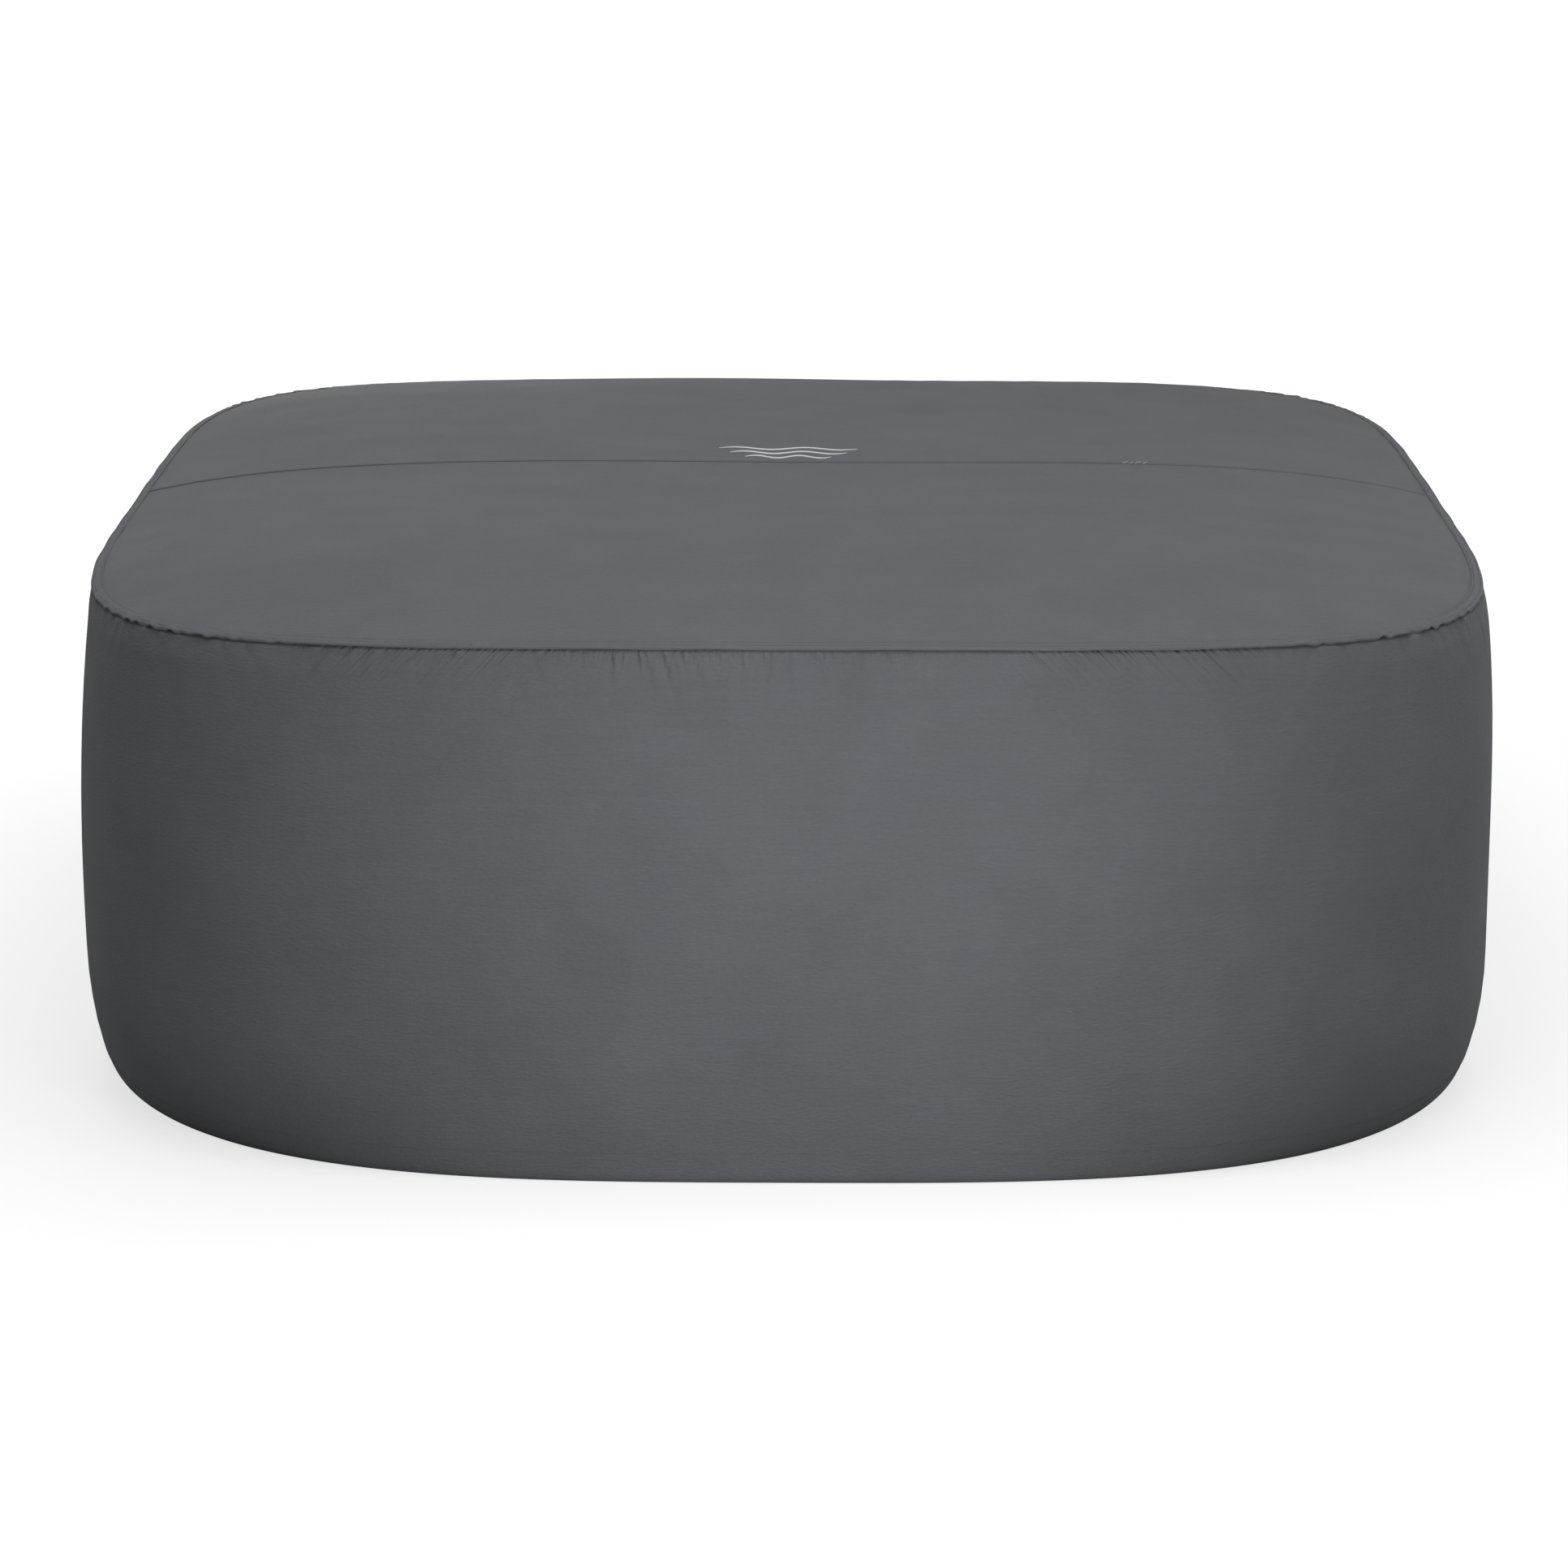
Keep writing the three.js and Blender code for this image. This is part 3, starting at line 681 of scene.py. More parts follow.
@dataclass(frozen=True)
class WovenCloth(Finish):
    """Matt woven polyester with slubs, soft dye patches, painted shade between the threads of the weave and a
    little dust near the floor.

    A slub is given by its length and its height, the weights say how much each kind shades or raises the
    cloth, and seam is the height of a seam that fine creases hang from, or 0.
    """

    threads: float = 1150.0
    weave_depth: float = 0.22 * MM
    # painted shade of the weave: darkest in its hollows, lightest on the thread crowns
    painted_weave_shade: tuple[float, float] = (0.93, 1.05)
    fine: tuple[float, float] = (20 * MM, 1.7 * MM)
    grain: tuple[float, float] = (7 * MM, 3.2 * MM)
    broad: tuple[float, float] = (0.13, 9 * MM)
    fine_weight: float = 0.42
    grain_weight: float = 0.38
    broad_weight: float = 0.2
    slub_shade: float = 0.24
    patch_size: float = 0.11
    patch_shade: float = 0.12
    cool: Colour = (0.97, 0.985, 1.03)
    warm: Colour = (1.02, 0.995, 0.985)
    dust: Colour = (0.20, 0.19, 0.17)
    dust_top: float = 0.09
    dust_share: float = 0.10
    sheen: float = 0.08
    sheen_roughness: float = 0.55
    specular: float = 0.3
    weave_rise: float = 0.6
    fine_rise: float = 1.4
    grain_rise: float = 6.5
    crease_rise: float = 17.0
    slant_rise: float = 2.4
    seam: float = 0.0

    def wire(self, nodes: Nodes, shader: bpy.types.Node) -> None:
        """Weave with painted shade between its threads, slubs, patches, dust, sheen, and fine creases under a
        seam where one is given.
        """
        flat, room = self.uv(nodes), self.room(nodes)
        weave = self.use(nodes, Effects.plain_weave(), Vector=flat, Threads=self.threads).outputs[0]
        fine, grain, broad = (
            self.use(nodes, Effects.slubs(), Vector=flat, Length=length, Height=height).outputs[0]
            for length, height in (self.fine, self.grain, self.broad)
        )
        patch = self.use(nodes, Effects.blotches(), Vector=room, Size=self.patch_size)
        tint = nodes.mix(patch.outputs["Tint"], (*self.cool, 1.0), (*self.warm, 1.0))
        colour = nodes.mix(1.0, (*self.colour, 1.0), tint, "MULTIPLY")
        slub = nodes.math(
            "ADD",
            nodes.math("MULTIPLY", fine, self.fine_weight),
            nodes.math("MULTIPLY", broad, self.broad_weight),
        )
        slub = nodes.math("ADD", slub, nodes.math("MULTIPLY", grain, self.grain_weight))
        shade = nodes.math(
            "MULTIPLY",
            nodes.spread(slub, 1 - self.slub_shade, 1 + self.slub_shade),
            nodes.spread(patch.outputs["Shade"], 1 - self.patch_shade, 1 + self.patch_shade),
        )
        # painted shade: the weave's low threads are darkened and its crowns lightened, following the weave's
        # height
        shade = nodes.math("MULTIPLY", shade, nodes.spread(weave, *self.painted_weave_shade))
        grey = nodes.add("ShaderNodeCombineColor", {0: shade, 1: shade, 2: shade}).outputs[0]
        colour = nodes.mix(1.0, colour, grey, "MULTIPLY")
        dust = self.use(nodes, Effects.grime(), Vector=room, Top=self.dust_top).outputs[0]
        colour = nodes.mix(nodes.math("MULTIPLY", dust, self.dust_share), colour, (*self.dust, 1.0))
        nodes.tree.links.new(colour, shader.inputs["Base Color"])
        rough = nodes.spread(fine, self.roughness - 0.06, self.roughness + 0.08)
        nodes.tree.links.new(rough, shader.inputs["Roughness"])
        shader.inputs["Sheen Weight"].default_value = self.sheen
        shader.inputs["Sheen Roughness"].default_value = self.sheen_roughness
        shader.inputs["Specular IOR Level"].default_value = self.specular
        height = nodes.math(
            "ADD",
            nodes.math("MULTIPLY", weave, self.weave_rise),
            nodes.math("MULTIPLY", fine, self.fine_rise),
        )
        height = nodes.math("ADD", height, nodes.math("MULTIPLY", grain, self.grain_rise))
        if self.seam:
            creases = self._creases(nodes, flat)
            height = nodes.math("ADD", height, nodes.math("MULTIPLY", creases, self.crease_rise))
        self.bump(nodes, shader, height, self.weave_depth)

    def _creases(self, nodes: Nodes, flat: Socket) -> Socket:
        """A fine fan of creases under the middle of the seam, and slanting ones to its left and right."""
        seam = {"Vector": flat, "Seam": self.seam}
        upright = {"Lean": 0.12, "Pitch": 5 * MM, "Start": -0.1, "End": 0.30, "Reach": 48 * MM}
        slanting = {"Lean": 0.9, "Pitch": 8 * MM, "Start": 0.24, "End": 0.60, "Reach": 62 * MM}
        fan = self.use(nodes, Effects.pulls(), **seam, **upright).outputs[0]
        slant = self.use(nodes, Effects.pulls(), **seam, **slanting).outputs[0]
        return nodes.math("ADD", fan, nodes.math("MULTIPLY", slant, self.slant_rise))


@dataclass(frozen=True)
class Foil(Finish):
    """Aluminium laminate, softly crinkled."""

    crinkle: float = 0.8 * MM
    large_folds: float = 55.0
    small_folds: float = 140.0
    small_share: float = 0.3
    dulled: float = 0.82
    metallic: float = 0.9

    def wire(self, nodes: Nodes, shader: bpy.types.Node) -> None:
        """Folds at two sizes, and duller patches."""
        room = self.room(nodes)
        large = {"Vector": room, "Scale": self.large_folds}
        cells = nodes.add("ShaderNodeTexVoronoi", large, feature="DISTANCE_TO_EDGE")
        small = nodes.math("MULTIPLY", nodes.noise(room, self.small_folds, 3.0), self.small_share)
        folds = nodes.math("ADD", cells.outputs[0], small)
        patch = self.use(nodes, Effects.blotches(), Vector=room, Size=0.05)
        rough = nodes.spread(patch.outputs["Shade"], self.roughness - 0.12, self.roughness + 0.18)
        dull = (*[self.dulled * c for c in self.colour], 1.0)
        colour = nodes.mix(patch.outputs["Tint"], (*self.colour, 1.0), dull)
        nodes.tree.links.new(colour, shader.inputs["Base Color"])
        nodes.tree.links.new(rough, shader.inputs["Roughness"])
        shader.inputs["Metallic"].default_value = self.metallic
        self.bump(nodes, shader, folds, self.crinkle)


@dataclass(frozen=True)
class Foam(Finish):
    """Closed-cell foam: fine pores and a faint yellowing."""

    pores: float = 900.0

    def wire(self, nodes: Nodes, shader: bpy.types.Node) -> None:
        """Pores and patches."""
        room = self.room(nodes)
        cells = nodes.add("ShaderNodeTexVoronoi", {"Vector": room, "Scale": self.pores}).outputs[0]
        patch = self.use(nodes, Effects.blotches(), Vector=room, Size=0.08)
        aged = (self.colour[0], 0.95 * self.colour[1], 0.82 * self.colour[2], 1.0)
        colour = nodes.mix(nodes.spread(patch.outputs["Shade"], 0.0, 0.6), (*self.colour, 1.0), aged)
        nodes.tree.links.new(colour, shader.inputs["Base Color"])
        nodes.tree.links.new(nodes.spread(cells, self.roughness - 0.1, 1.0), shader.inputs["Roughness"])
        self.bump(nodes, shader, cells, 0.4 * MM)


@dataclass(frozen=True)
class Ribbed(Finish):
    """Webbing, elastic and satin: ribs along the piece, crossed by a finer weft."""

    ribs: float = 600.0
    wefts: float = 1400.0
    depth: float = 0.3 * MM
    sheen: float = 0.2

    def wire(self, nodes: Nodes, shader: bpy.types.Node) -> None:
        """Ribs by weft, with painted shade in the hollows between them and worn high spots."""
        flat = self.uv(nodes)
        scaled = nodes.add(
            "ShaderNodeVectorMath", {0: flat, 1: (self.ribs / self.wefts, 1.0, 1.0)}, operation="MULTIPLY"
        ).outputs[0]
        weave = self.use(nodes, Effects.plain_weave(), Vector=scaled, Threads=self.wefts).outputs[0]
        patch = self.use(nodes, Effects.blotches(), Vector=self.room(nodes), Size=0.02)
        # painted shade: the hollows between the ribs are darkened to 0.62 of the colour
        painted_hollow_shade = (*[0.62 * c for c in self.colour], 1.0)
        rubbed = nodes.spread(patch.outputs["Shade"], 0.0, 0.35)
        worn = nodes.mix(rubbed, (*self.colour, 1.0), (0.4, 0.4, 0.4, 1.0))
        # the weave's hollows take the painted shade, its high spots the worn colour
        nodes.tree.links.new(nodes.mix(weave, painted_hollow_shade, worn), shader.inputs["Base Color"])
        rough = nodes.spread(weave, self.roughness + 0.1, self.roughness - 0.1)
        nodes.tree.links.new(rough, shader.inputs["Roughness"])
        shader.inputs["Sheen Weight"].default_value = self.sheen
        self.bump(nodes, shader, weave, self.depth)


class Pile(Enum):
    """The two faces of touch tape."""

    HOOK = "hook"
    LOOP = "loop"


@dataclass(frozen=True)
class TouchTape(Finish):
    """Hook or loop tape."""

    pile: Pile = Pile.HOOK

    def wire(self, nodes: Nodes, shader: bpy.types.Node) -> None:
        """Rows of hooks, or tangled loops, their raised tips lightened with a painted highlight."""
        room, flat = self.room(nodes), self.uv(nodes)
        if self.pile is Pile.HOOK:
            height = self.use(nodes, Effects.plain_weave(), Vector=flat, Threads=520.0).outputs[0]
        else:
            height = nodes.noise(room, 700.0, 6.0, 0.75)
        patch = self.use(nodes, Effects.blotches(), Vector=room, Size=0.01)
        # painted highlight: the pile's raised tips are lightened up to 2.2 times the colour, in random
        # patches
        grey = (*[2.2 * c for c in self.colour], 1.0)
        mask = nodes.math("MULTIPLY", height, patch.outputs["Shade"])
        nodes.tree.links.new(nodes.mix(mask, (*self.colour, 1.0), grey), shader.inputs["Base Color"])
        nodes.tree.links.new(nodes.spread(height, 1.0, self.roughness - 0.2), shader.inputs["Roughness"])
        shader.inputs["Sheen Weight"].default_value = 0.3
        self.bump(nodes, shader, height, 0.8 * MM)


@dataclass(frozen=True)
class Ink(Finish):
    """Screen print that lets the weave show through."""

    threads: float = 1150.0

    def wire(self, nodes: Nodes, shader: bpy.types.Node) -> None:
        """Slightly uneven ink over threads."""
        weave = self.use(nodes, Effects.plain_weave(), Vector=self.uv(nodes), Threads=self.threads).outputs[0]
        patch = self.use(nodes, Effects.blotches(), Vector=self.room(nodes), Size=0.006)
        thin = (*[0.78 * c for c in self.colour], 1.0)
        share = nodes.math("MULTIPLY", patch.outputs["Shade"], nodes.math("SUBTRACT", 1.0, weave))
        nodes.tree.links.new(nodes.mix(share, (*self.colour, 1.0), thin), shader.inputs["Base Color"])
        rough = nodes.spread(patch.outputs["Tint"], self.roughness - 0.1, self.roughness + 0.15)
        nodes.tree.links.new(rough, shader.inputs["Roughness"])
        self.bump(nodes, shader, weave, 0.1 * MM)


@dataclass(frozen=True)
class Twist(Finish):
    """Sewing thread, twisted from plies."""

    def wire(self, nodes: Nodes, shader: bpy.types.Node) -> None:
        """Diagonal plies and a slight variation from stitch to stitch."""
        room = self.room(nodes)
        plies = nodes.add("ShaderNodeTexWave", {"Vector": room, "Scale": 900.0}, bands_direction="DIAGONAL")
        patch = self.use(nodes, Effects.blotches(), Vector=room, Size=0.008)
        light = (*[1.25 * c for c in self.colour], 1.0)
        colour = nodes.mix(patch.outputs["Shade"], (*self.colour, 1.0), light)
        nodes.tree.links.new(colour, shader.inputs["Base Color"])
        rough = nodes.spread(patch.outputs["Tint"], self.roughness - 0.1, self.roughness + 0.1)
        nodes.tree.links.new(rough, shader.inputs["Roughness"])
        shader.inputs["Sheen Weight"].default_value = 0.15
        self.bump(nodes, shader, plies.outputs[1], 0.1 * MM)


class Finishes:
    """The cover's finishes."""

    SKIN = WovenCloth("woven_polyester", (0.148, 0.1535, 0.1645))
    WALL = WovenCloth("gathered_polyester", (0.148, 0.1535, 0.1645), seam=0.652)
    SEAM = WovenCloth("folded_polyester", (0.144, 0.1495, 0.1605), slub_shade=0.14)
    FOIL = Foil("foil_laminate", (0.80, 0.81, 0.83), 0.34)
    FOAM = Foam("closed_cell_foam", (0.78, 0.78, 0.75), 0.9)
    ELASTIC = Ribbed("braided_elastic", (0.72, 0.72, 0.69), 0.8, ribs=900.0, wefts=500.0)
    WEBBING = Ribbed("woven_webbing", (0.045, 0.046, 0.05), 0.75)
    SATIN = Ribbed("satin_label", (0.70, 0.70, 0.67), 0.5, ribs=2600.0, wefts=2600.0, depth=0.08 * MM)
    HOOK = TouchTape("hook_tape", (0.022, 0.022, 0.025), 0.8, Pile.HOOK)
    LOOP = TouchTape("loop_tape", (0.028, 0.028, 0.031), 0.9, Pile.LOOP)
    INK = Ink("screen_ink", (0.86, 0.86, 0.87), 0.55)
    THREAD = Twist("sewing_thread", (0.125, 0.128, 0.137), 0.6)
    LOOSE = Twist("frayed_thread", (0.78, 0.78, 0.78), 0.7)


# ---- sewing -----------------------------------------------------------------------------------------


@dataclass
class Stitcher:
    """Sews rows of lockstitch: one stitch is modelled, repeated, and bent along a path."""

    pitch: float = 4.2 * MM
    stitch: float = 3.3 * MM
    radius: float = 0.36 * MM
    sides: int = 6

    def _one(self, name: str) -> Piece:
        """One stitch along X, its ends rounded off."""
        piece = Bench.start(
            name,
            bpy.ops.mesh.primitive_cylinder_add,
            vertices=self.sides,
            radius=self.radius,
            depth=self.stitch * 0.8,
            location=(self.stitch / 2, 0, 0),
            rotation=(0, math.pi / 2, 0),
        )
        Bench.select(piece, lambda centres, normals: np.abs(normals[:, 0]) > 0.9)
        Bench.edit(
            piece,
            bpy.ops.mesh.inset,
            thickness=self.radius * 0.4,
            depth=self.stitch * 0.1,
            use_individual=True,
        )
        return piece

    def row(self, name: str, path: Array) -> Piece:
        """Sews a row.

        Args:
            name: the row's name.
            path: the points that the thread lies on, with the first again at the end if the row is closed.

        Returns:
            The row, one mesh.
        """
        length = float(np.linalg.norm(np.diff(path, axis=0), axis=1).sum())
        route = bpy.data.curves.new(name + "_route", "CURVE")
        route.dimensions = "3D"
        spline = route.splines.new("POLY")
        spline.points.add(len(path) - 1)
        spline.points.foreach_set("co", np.column_stack([path, np.ones(len(path))]).ravel())
        guide = bpy.data.objects.new(name + "_route", route)
        bpy.context.scene.collection.objects.link(guide)
        piece = self._one(name)
        Bench.apply(
            piece,
            "ARRAY",
            count=max(1, int(length / self.pitch)),
            use_relative_offset=False,
            use_constant_offset=True,
            constant_offset_displace=(self.pitch, 0, 0),
        )
        Bench.apply(piece, "CURVE", object=guide, deform_axis="POS_X")
        bpy.data.objects.remove(guide)
        Bench.smooth(piece, 60)
        return piece

    def seam(self, name: str, paths: Sequence[Array], body: str) -> Piece:
        """Sews several rows as one piece and lets it ride on a body."""
        rows = [self.row(f"{name}_{number}", path) for number, path in enumerate(paths)]
        piece = Bench.join(name, rows)
        dress(piece, Finishes.THREAD, body)
        return piece

    def tail(self, name: str, path: Array) -> Piece:
        """A cut end of thread along a path that runs mostly along X."""
        tube = bpy.ops.mesh.primitive_cylinder_add
        piece = Bench.start(name, tube, vertices=self.sides, radius=self.radius, depth=1)
        Bench.select_edges(piece, lambda a, b: abs(a[2] - b[2]) > 0.5)
        Bench.edit(piece, bpy.ops.mesh.subdivide, number_cuts=len(path) - 2)
        straight = Bench.places(piece)
        step = np.rint((straight[:, 2] + 0.5) * (len(path) - 1)).astype(int)
        across = np.column_stack([np.zeros(len(straight)), straight[:, :2]])
        Bench.move(piece, path[step] + across)
        Bench.face_out(piece)
        Bench.smooth(piece, 60)
        return piece


def polyline(corners: Sequence[tuple[float, float]], points: int) -> Array:
    """Points at even steps along the straight runs from corner to corner, so many on each run."""
    runs = [np.linspace(a, b, points)[:-1] for a, b in zip(corners, corners[1:])]
    return np.concatenate([*runs, [corners[-1]]])


def ramp(value: Array, width: float) -> Array:
    """0 up to 0, 1 from a width on, and a straight rise in between."""
    return np.clip(value / width, 0, 1)


def ease(share: Array) -> Array:
    """A share from 0 to 1 that starts and ends gently."""
    return share * share * (3 - 2 * share)


def dress(
    piece: Piece, finish: Finish, body: str | None, replaces: Sequence[str] = ()
) -> Piece:
    """Gives a piece its finish, its body and the CAD nodes that it stands for.

    Args:
        piece: the finished mesh.
        finish: its finish.
        body: the CAD body it rides on, or None if it bends between two.
        replaces: the CAD nodes it stands for.

    Returns:
        The piece.
    """
    piece.data.materials.clear()
    piece.data.materials.append(finish.material())
    if body:
        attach(piece, body)
    if replaces:
        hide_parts(*replaces)
    log.info("%s: %d faces, %s", piece.name, len(piece.data.polygons), finish.name)
    return piece


# ---- sub-assemblies ---------------------------------------------------------------------------------


@dataclass
class Layers:
    """Depths of the layers of the wall and the top, below the outer face."""

    fabric: float = 1.0 * MM
    foam_out: float = 1.3 * MM
    foam_in: float = 9.3 * MM
    foil_out: float = 9.6 * MM
    foil_in: float = 10.6 * MM


@dataclass
class WallPiece:
    """What wall sub-assemblies share: the shell, the layers and the wrap."""

    shell: Shell
    layers: Layers = field(default_factory=Layers)

    def wrap(self, piece: Piece, relief: Field | None = None) -> Piece:
        """Wraps a flat piece on to the wall.

        Args:
            piece: the flat mesh.
            relief: how much further out each flat point stands.

        Returns:
            The piece, with its weave laid.
        """
        flat = Bench.places(piece)
        Bench.lay_weave(piece, flat)
        if relief is not None:
            flat[:, 2] += relief(flat[:, 0], flat[:, 1])
        Bench.move(piece, self.shell.wall(flat))
        Bench.smooth(piece)
        return piece


@dataclass
class Top(WallPiece):
    """The domed top: two fabric halves, foam and foil under them, the seam across and the sewn rim.

    In millimetres are the rim's section and its rows of thread (out, up), the join's rows (towards the rear),
    and the loose ends (start along X, length, curl).
    """

    cell: float = 9 * MM
    pad_cell: float = 30 * MM
    foil_cell: float = 14 * MM
    inset: float = 11 * MM
    join_width: float = 12 * MM
    join_height: float = 0.8 * MM
    rim_turns: int = 250
    rim_cuts: int = 5
    rim_section: tuple[tuple[float, float], ...] = (
        (-10.0, 3.7), (-9.7, 4.8), (-8.4, 4.6), (-7.6, 3.6), (-6.8, 4.2), (-4.6, 3.7), (-1.3, 2.8),
        (-0.5, 2.4), (0.1, 1.5), (0.8, 2.2), (1.6, 2.2), (2.8, 1.6), (3.7, 0.5), (4.1, -0.9), (3.8, -1.9),
        (3.0, -2.2), (2.0, -1.6), (0.6, -0.8), (-0.9, 0.0), (-3.0, 0.8), (-6.0, 1.6), (-9.0, 2.4),
    )
    rim_rows: tuple[tuple[float, float], ...] = ((-7.6, 3.8), (0.1, 1.75))
    join_rows: tuple[float, ...] = (-4.2, 3.6)
    rim_points: int = 1201
    lap_fade: float = 0.85
    scallop: float = 3.2 * MM
    loose_ends: tuple[tuple[float, float, float], ...] = (
        (450, 7, 2.5), (459, 5, -2.0), (466, 8, 3.0), (477, 6, 1.5),
    )

    def pad_relief(self, x: Array, y: Array) -> Array:
        """Soft bands across the foam and what lies on it, fading out at the edge."""
        bands = Drift(11, 0.10, 0.22, 0.45 * MM, stretch=7.0).at(x, y)
        slow = Drift(12, 0.5, 0.9, 1.1 * MM).at(x, y)
        return (bands + slow) * ramp(1 - self.shell.share(x, y), 0.12)

    def relief(self, x: Array, y: Array) -> Array:
        """The foam's rise, and small puckers along the sewn edge."""
        share = self.shell.share(x, y)
        puckers = Drift(13, 0.035, 0.09, 0.5 * MM).at(x, y) * ramp(share - 0.9, 0.1)
        return self.pad_relief(x, y) + puckers * ramp(1.0 - share, 0.015)

    def _lay(self, piece: Piece, relief: Field) -> Piece:
        """Draws a flat square sheet in to the rounded plan and lays it on the dome."""
        flat = Bench.places(piece)
        a, n = self.shell.seam_half_width, self.shell.seam_power
        u, v = np.abs(flat[:, 0]) / a, np.abs(flat[:, 1]) / a
        edge = np.maximum(np.maximum(u, v), 1e-9)
        norm = np.maximum((u**n + v**n) ** (1 / n), 1e-9)
        flat[:, :2] *= (1 - (1 - edge / norm) * np.clip(edge, 0, 1) ** 4)[:, None]
        Bench.lay_weave(piece, flat)
        flat[:, 2] += relief(flat[:, 0], flat[:, 1])
        Bench.move(piece, self.shell.top(flat))
        Bench.smooth(piece)
        return piece

    def _half(self, name: str, rear: bool, low: float, high: float, cell: float, inset: float) -> Piece:
        """One half of one layer, flat, with its thickness."""
        reach, gap = self.shell.seam_half_width - inset, 0.15 * MM
        join = -self.shell.centre_y
        near, far = (join + gap, reach) if rear else (-reach, join - gap)
        return Bench.slab(name, Vector((-reach, near, low)), Vector((reach, far, high)), cell)

    def build(self, stitcher: Stitcher) -> None:
        """Builds and dresses the whole top."""
        layers, shell = self.layers, self.shell
        rim = self._rim()
        join = self._join()
        rim_paths = [self._rim_path(out, up) for out, up in self.rim_rows]
        rim_thread = stitcher.seam("rim_stitching", rim_paths, COVER)
        join_paths = [self._join_path(y * MM) for y in self.join_rows]
        join_thread = stitcher.seam("join_stitching", join_paths, COVER)
        loose = self._loose(stitcher)
        crinkle = Drift(17, 0.03, 0.09, 0.35 * MM)
        for side, rear in (("front", False), ("rear", True)):
            skin = self._half(f"top_skin_{side}", rear, -layers.fabric, 0, self.cell, 0)
            dress(self._lay(skin, self.relief), Finishes.SKIN, COVER, [f"top_panel_{side}"])
            foam = -layers.foam_in, -layers.foam_out
            pad = self._half(f"top_pad_{side}", rear, *foam, self.pad_cell, self.inset)
            Bench.round_rim(pad, 2 * MM)
            dress(self._lay(pad, self.pad_relief), Finishes.FOAM, COVER, [f"top_foam_{side}"])
            lining = -layers.foil_in, -layers.foil_out
            foil = self._half(f"top_foil_{side}", rear, *lining, self.foil_cell, self.inset)
            self._lay(foil, lambda x, y: self.pad_relief(x, y) + np.minimum(crinkle.at(x, y), 0))
            dress(foil, Finishes.FOIL, COVER, [f"top_lining_{side}"])

    def _wave(self, round_it: Array) -> tuple[Array, Array]:
        """How far the rim wanders out and up: gently on the walls, in scallops at the corners."""
        phase = 2 * math.pi * round_it / self.shell.perimeter
        rng = np.random.default_rng(21)
        gentle, lumps, sway = (np.zeros_like(round_it) for _ in range(3))
        counts = ((gentle, (17, 29, 41, 53)), (lumps, (173, 241, 307, 389)), (sway, (97, 149, 211)))
        for wave, turns in counts:
            for number in turns:
                wave += np.sin(number * phase + rng.uniform(0, 6.28)) / 2
        corner = self.shell.corner(round_it)
        up = 0.55 * MM * gentle + self.scallop * corner * (0.55 * lumps + 0.35 * sway)
        return 0.4 * MM * gentle + 0.5 * self.scallop * corner * sway, up

    def _rim_place(self, round_it: Array, out: Array, up: Array) -> Array:
        """A point of the rim's section, in millimetres, carried round with the rim's wandering."""
        sway, lift = self._wave(round_it)
        hang = np.clip((3.5 - up) / 4.0, 0.15, 1)
        lifted = up * MM + lift * hang
        return self.shell.rim(round_it, out * MM + sway * hang, lifted)

    def _rim_path(self, out: float, up: float) -> Array:
        """A closed thread path on the rim."""
        round_it = np.linspace(0, self.shell.perimeter, self.rim_points)
        return self._rim_place(round_it, np.full_like(round_it, out), np.full_like(round_it, up))

    def _rim(self) -> Piece:
        """The folded rim: a torus whose section becomes the fold's."""
        section = np.array(self.rim_section)
        sides = len(section)
        piece = Bench.start(
            "top_rim",
            bpy.ops.mesh.primitive_torus_add,
            major_segments=self.rim_turns,
            minor_segments=sides,
            major_radius=1.0,
            minor_radius=0.1,
        )

        def side_of(place: Array) -> Array:
            """Which side of the torus's section a place lies on."""
            turn = np.arctan2(place[..., 2], np.hypot(place[..., 0], place[..., 1]) - 1)
            return np.rint(turn / (2 * math.pi) * sides).astype(int) % sides

        Bench.select_edges(piece, lambda a, b: side_of(a) == side_of(b))
        Bench.edit(piece, bpy.ops.mesh.subdivide, number_cuts=self.rim_cuts)
        ring = Bench.places(piece)
        number = side_of(ring)
        round_it = np.mod(np.arctan2(ring[:, 1], ring[:, 0]) / (2 * math.pi), 1) * self.shell.perimeter
        out, up = section[number].T
        lengths = np.concatenate([[0], np.cumsum(np.linalg.norm(np.diff(section, axis=0), axis=1))]) * MM
        Bench.lay_weave(piece, np.column_stack([round_it, lengths[number]]), self.shell.perimeter)
        Bench.move(piece, self._rim_place(round_it, out, up))
        Bench.face_out(piece)
        Bench.smooth(piece, 80)
        return dress(piece, Finishes.SEAM, COVER, ["top_edge_lip"])

    def _join_path(self, y: float) -> Array:
        """A thread path along the seam across the top."""
        reach = self.shell.seam_half_width - 8 * MM
        x = np.linspace(-reach, reach, 300)
        across = np.full_like(x, y)
        rise = self._join_rise(x, across) + 0.1 * MM
        flat = np.column_stack([x, across - self.shell.centre_y + self._join_sway(x), rise])
        flat[:, 2] += self.relief(flat[:, 0], flat[:, 1])
        return self.shell.top(flat)

    def _loose(self, stitcher: Stitcher) -> Piece:
        """A few cut ends of thread that curl up from the seam across the top."""
        made = []
        for number, (start, length, curl) in enumerate(self.loose_ends):
            share = np.linspace(0, 1, 9)
            x = (start + length * share) * MM
            across = (self.join_rows[0] + curl * np.sin(math.pi * share)) * MM
            rise = self._join_rise(x, across) + (0.3 + 2.6 * share) * MM
            flat = np.column_stack([x, across - self.shell.centre_y + self._join_sway(x), rise])
            flat[:, 2] += self.relief(flat[:, 0], flat[:, 1])
            made.append(stitcher.tail(f"loose_end_{number}", self.shell.top(flat)))
        return dress(Bench.join("loose_ends", made), Finishes.LOOSE, COVER)

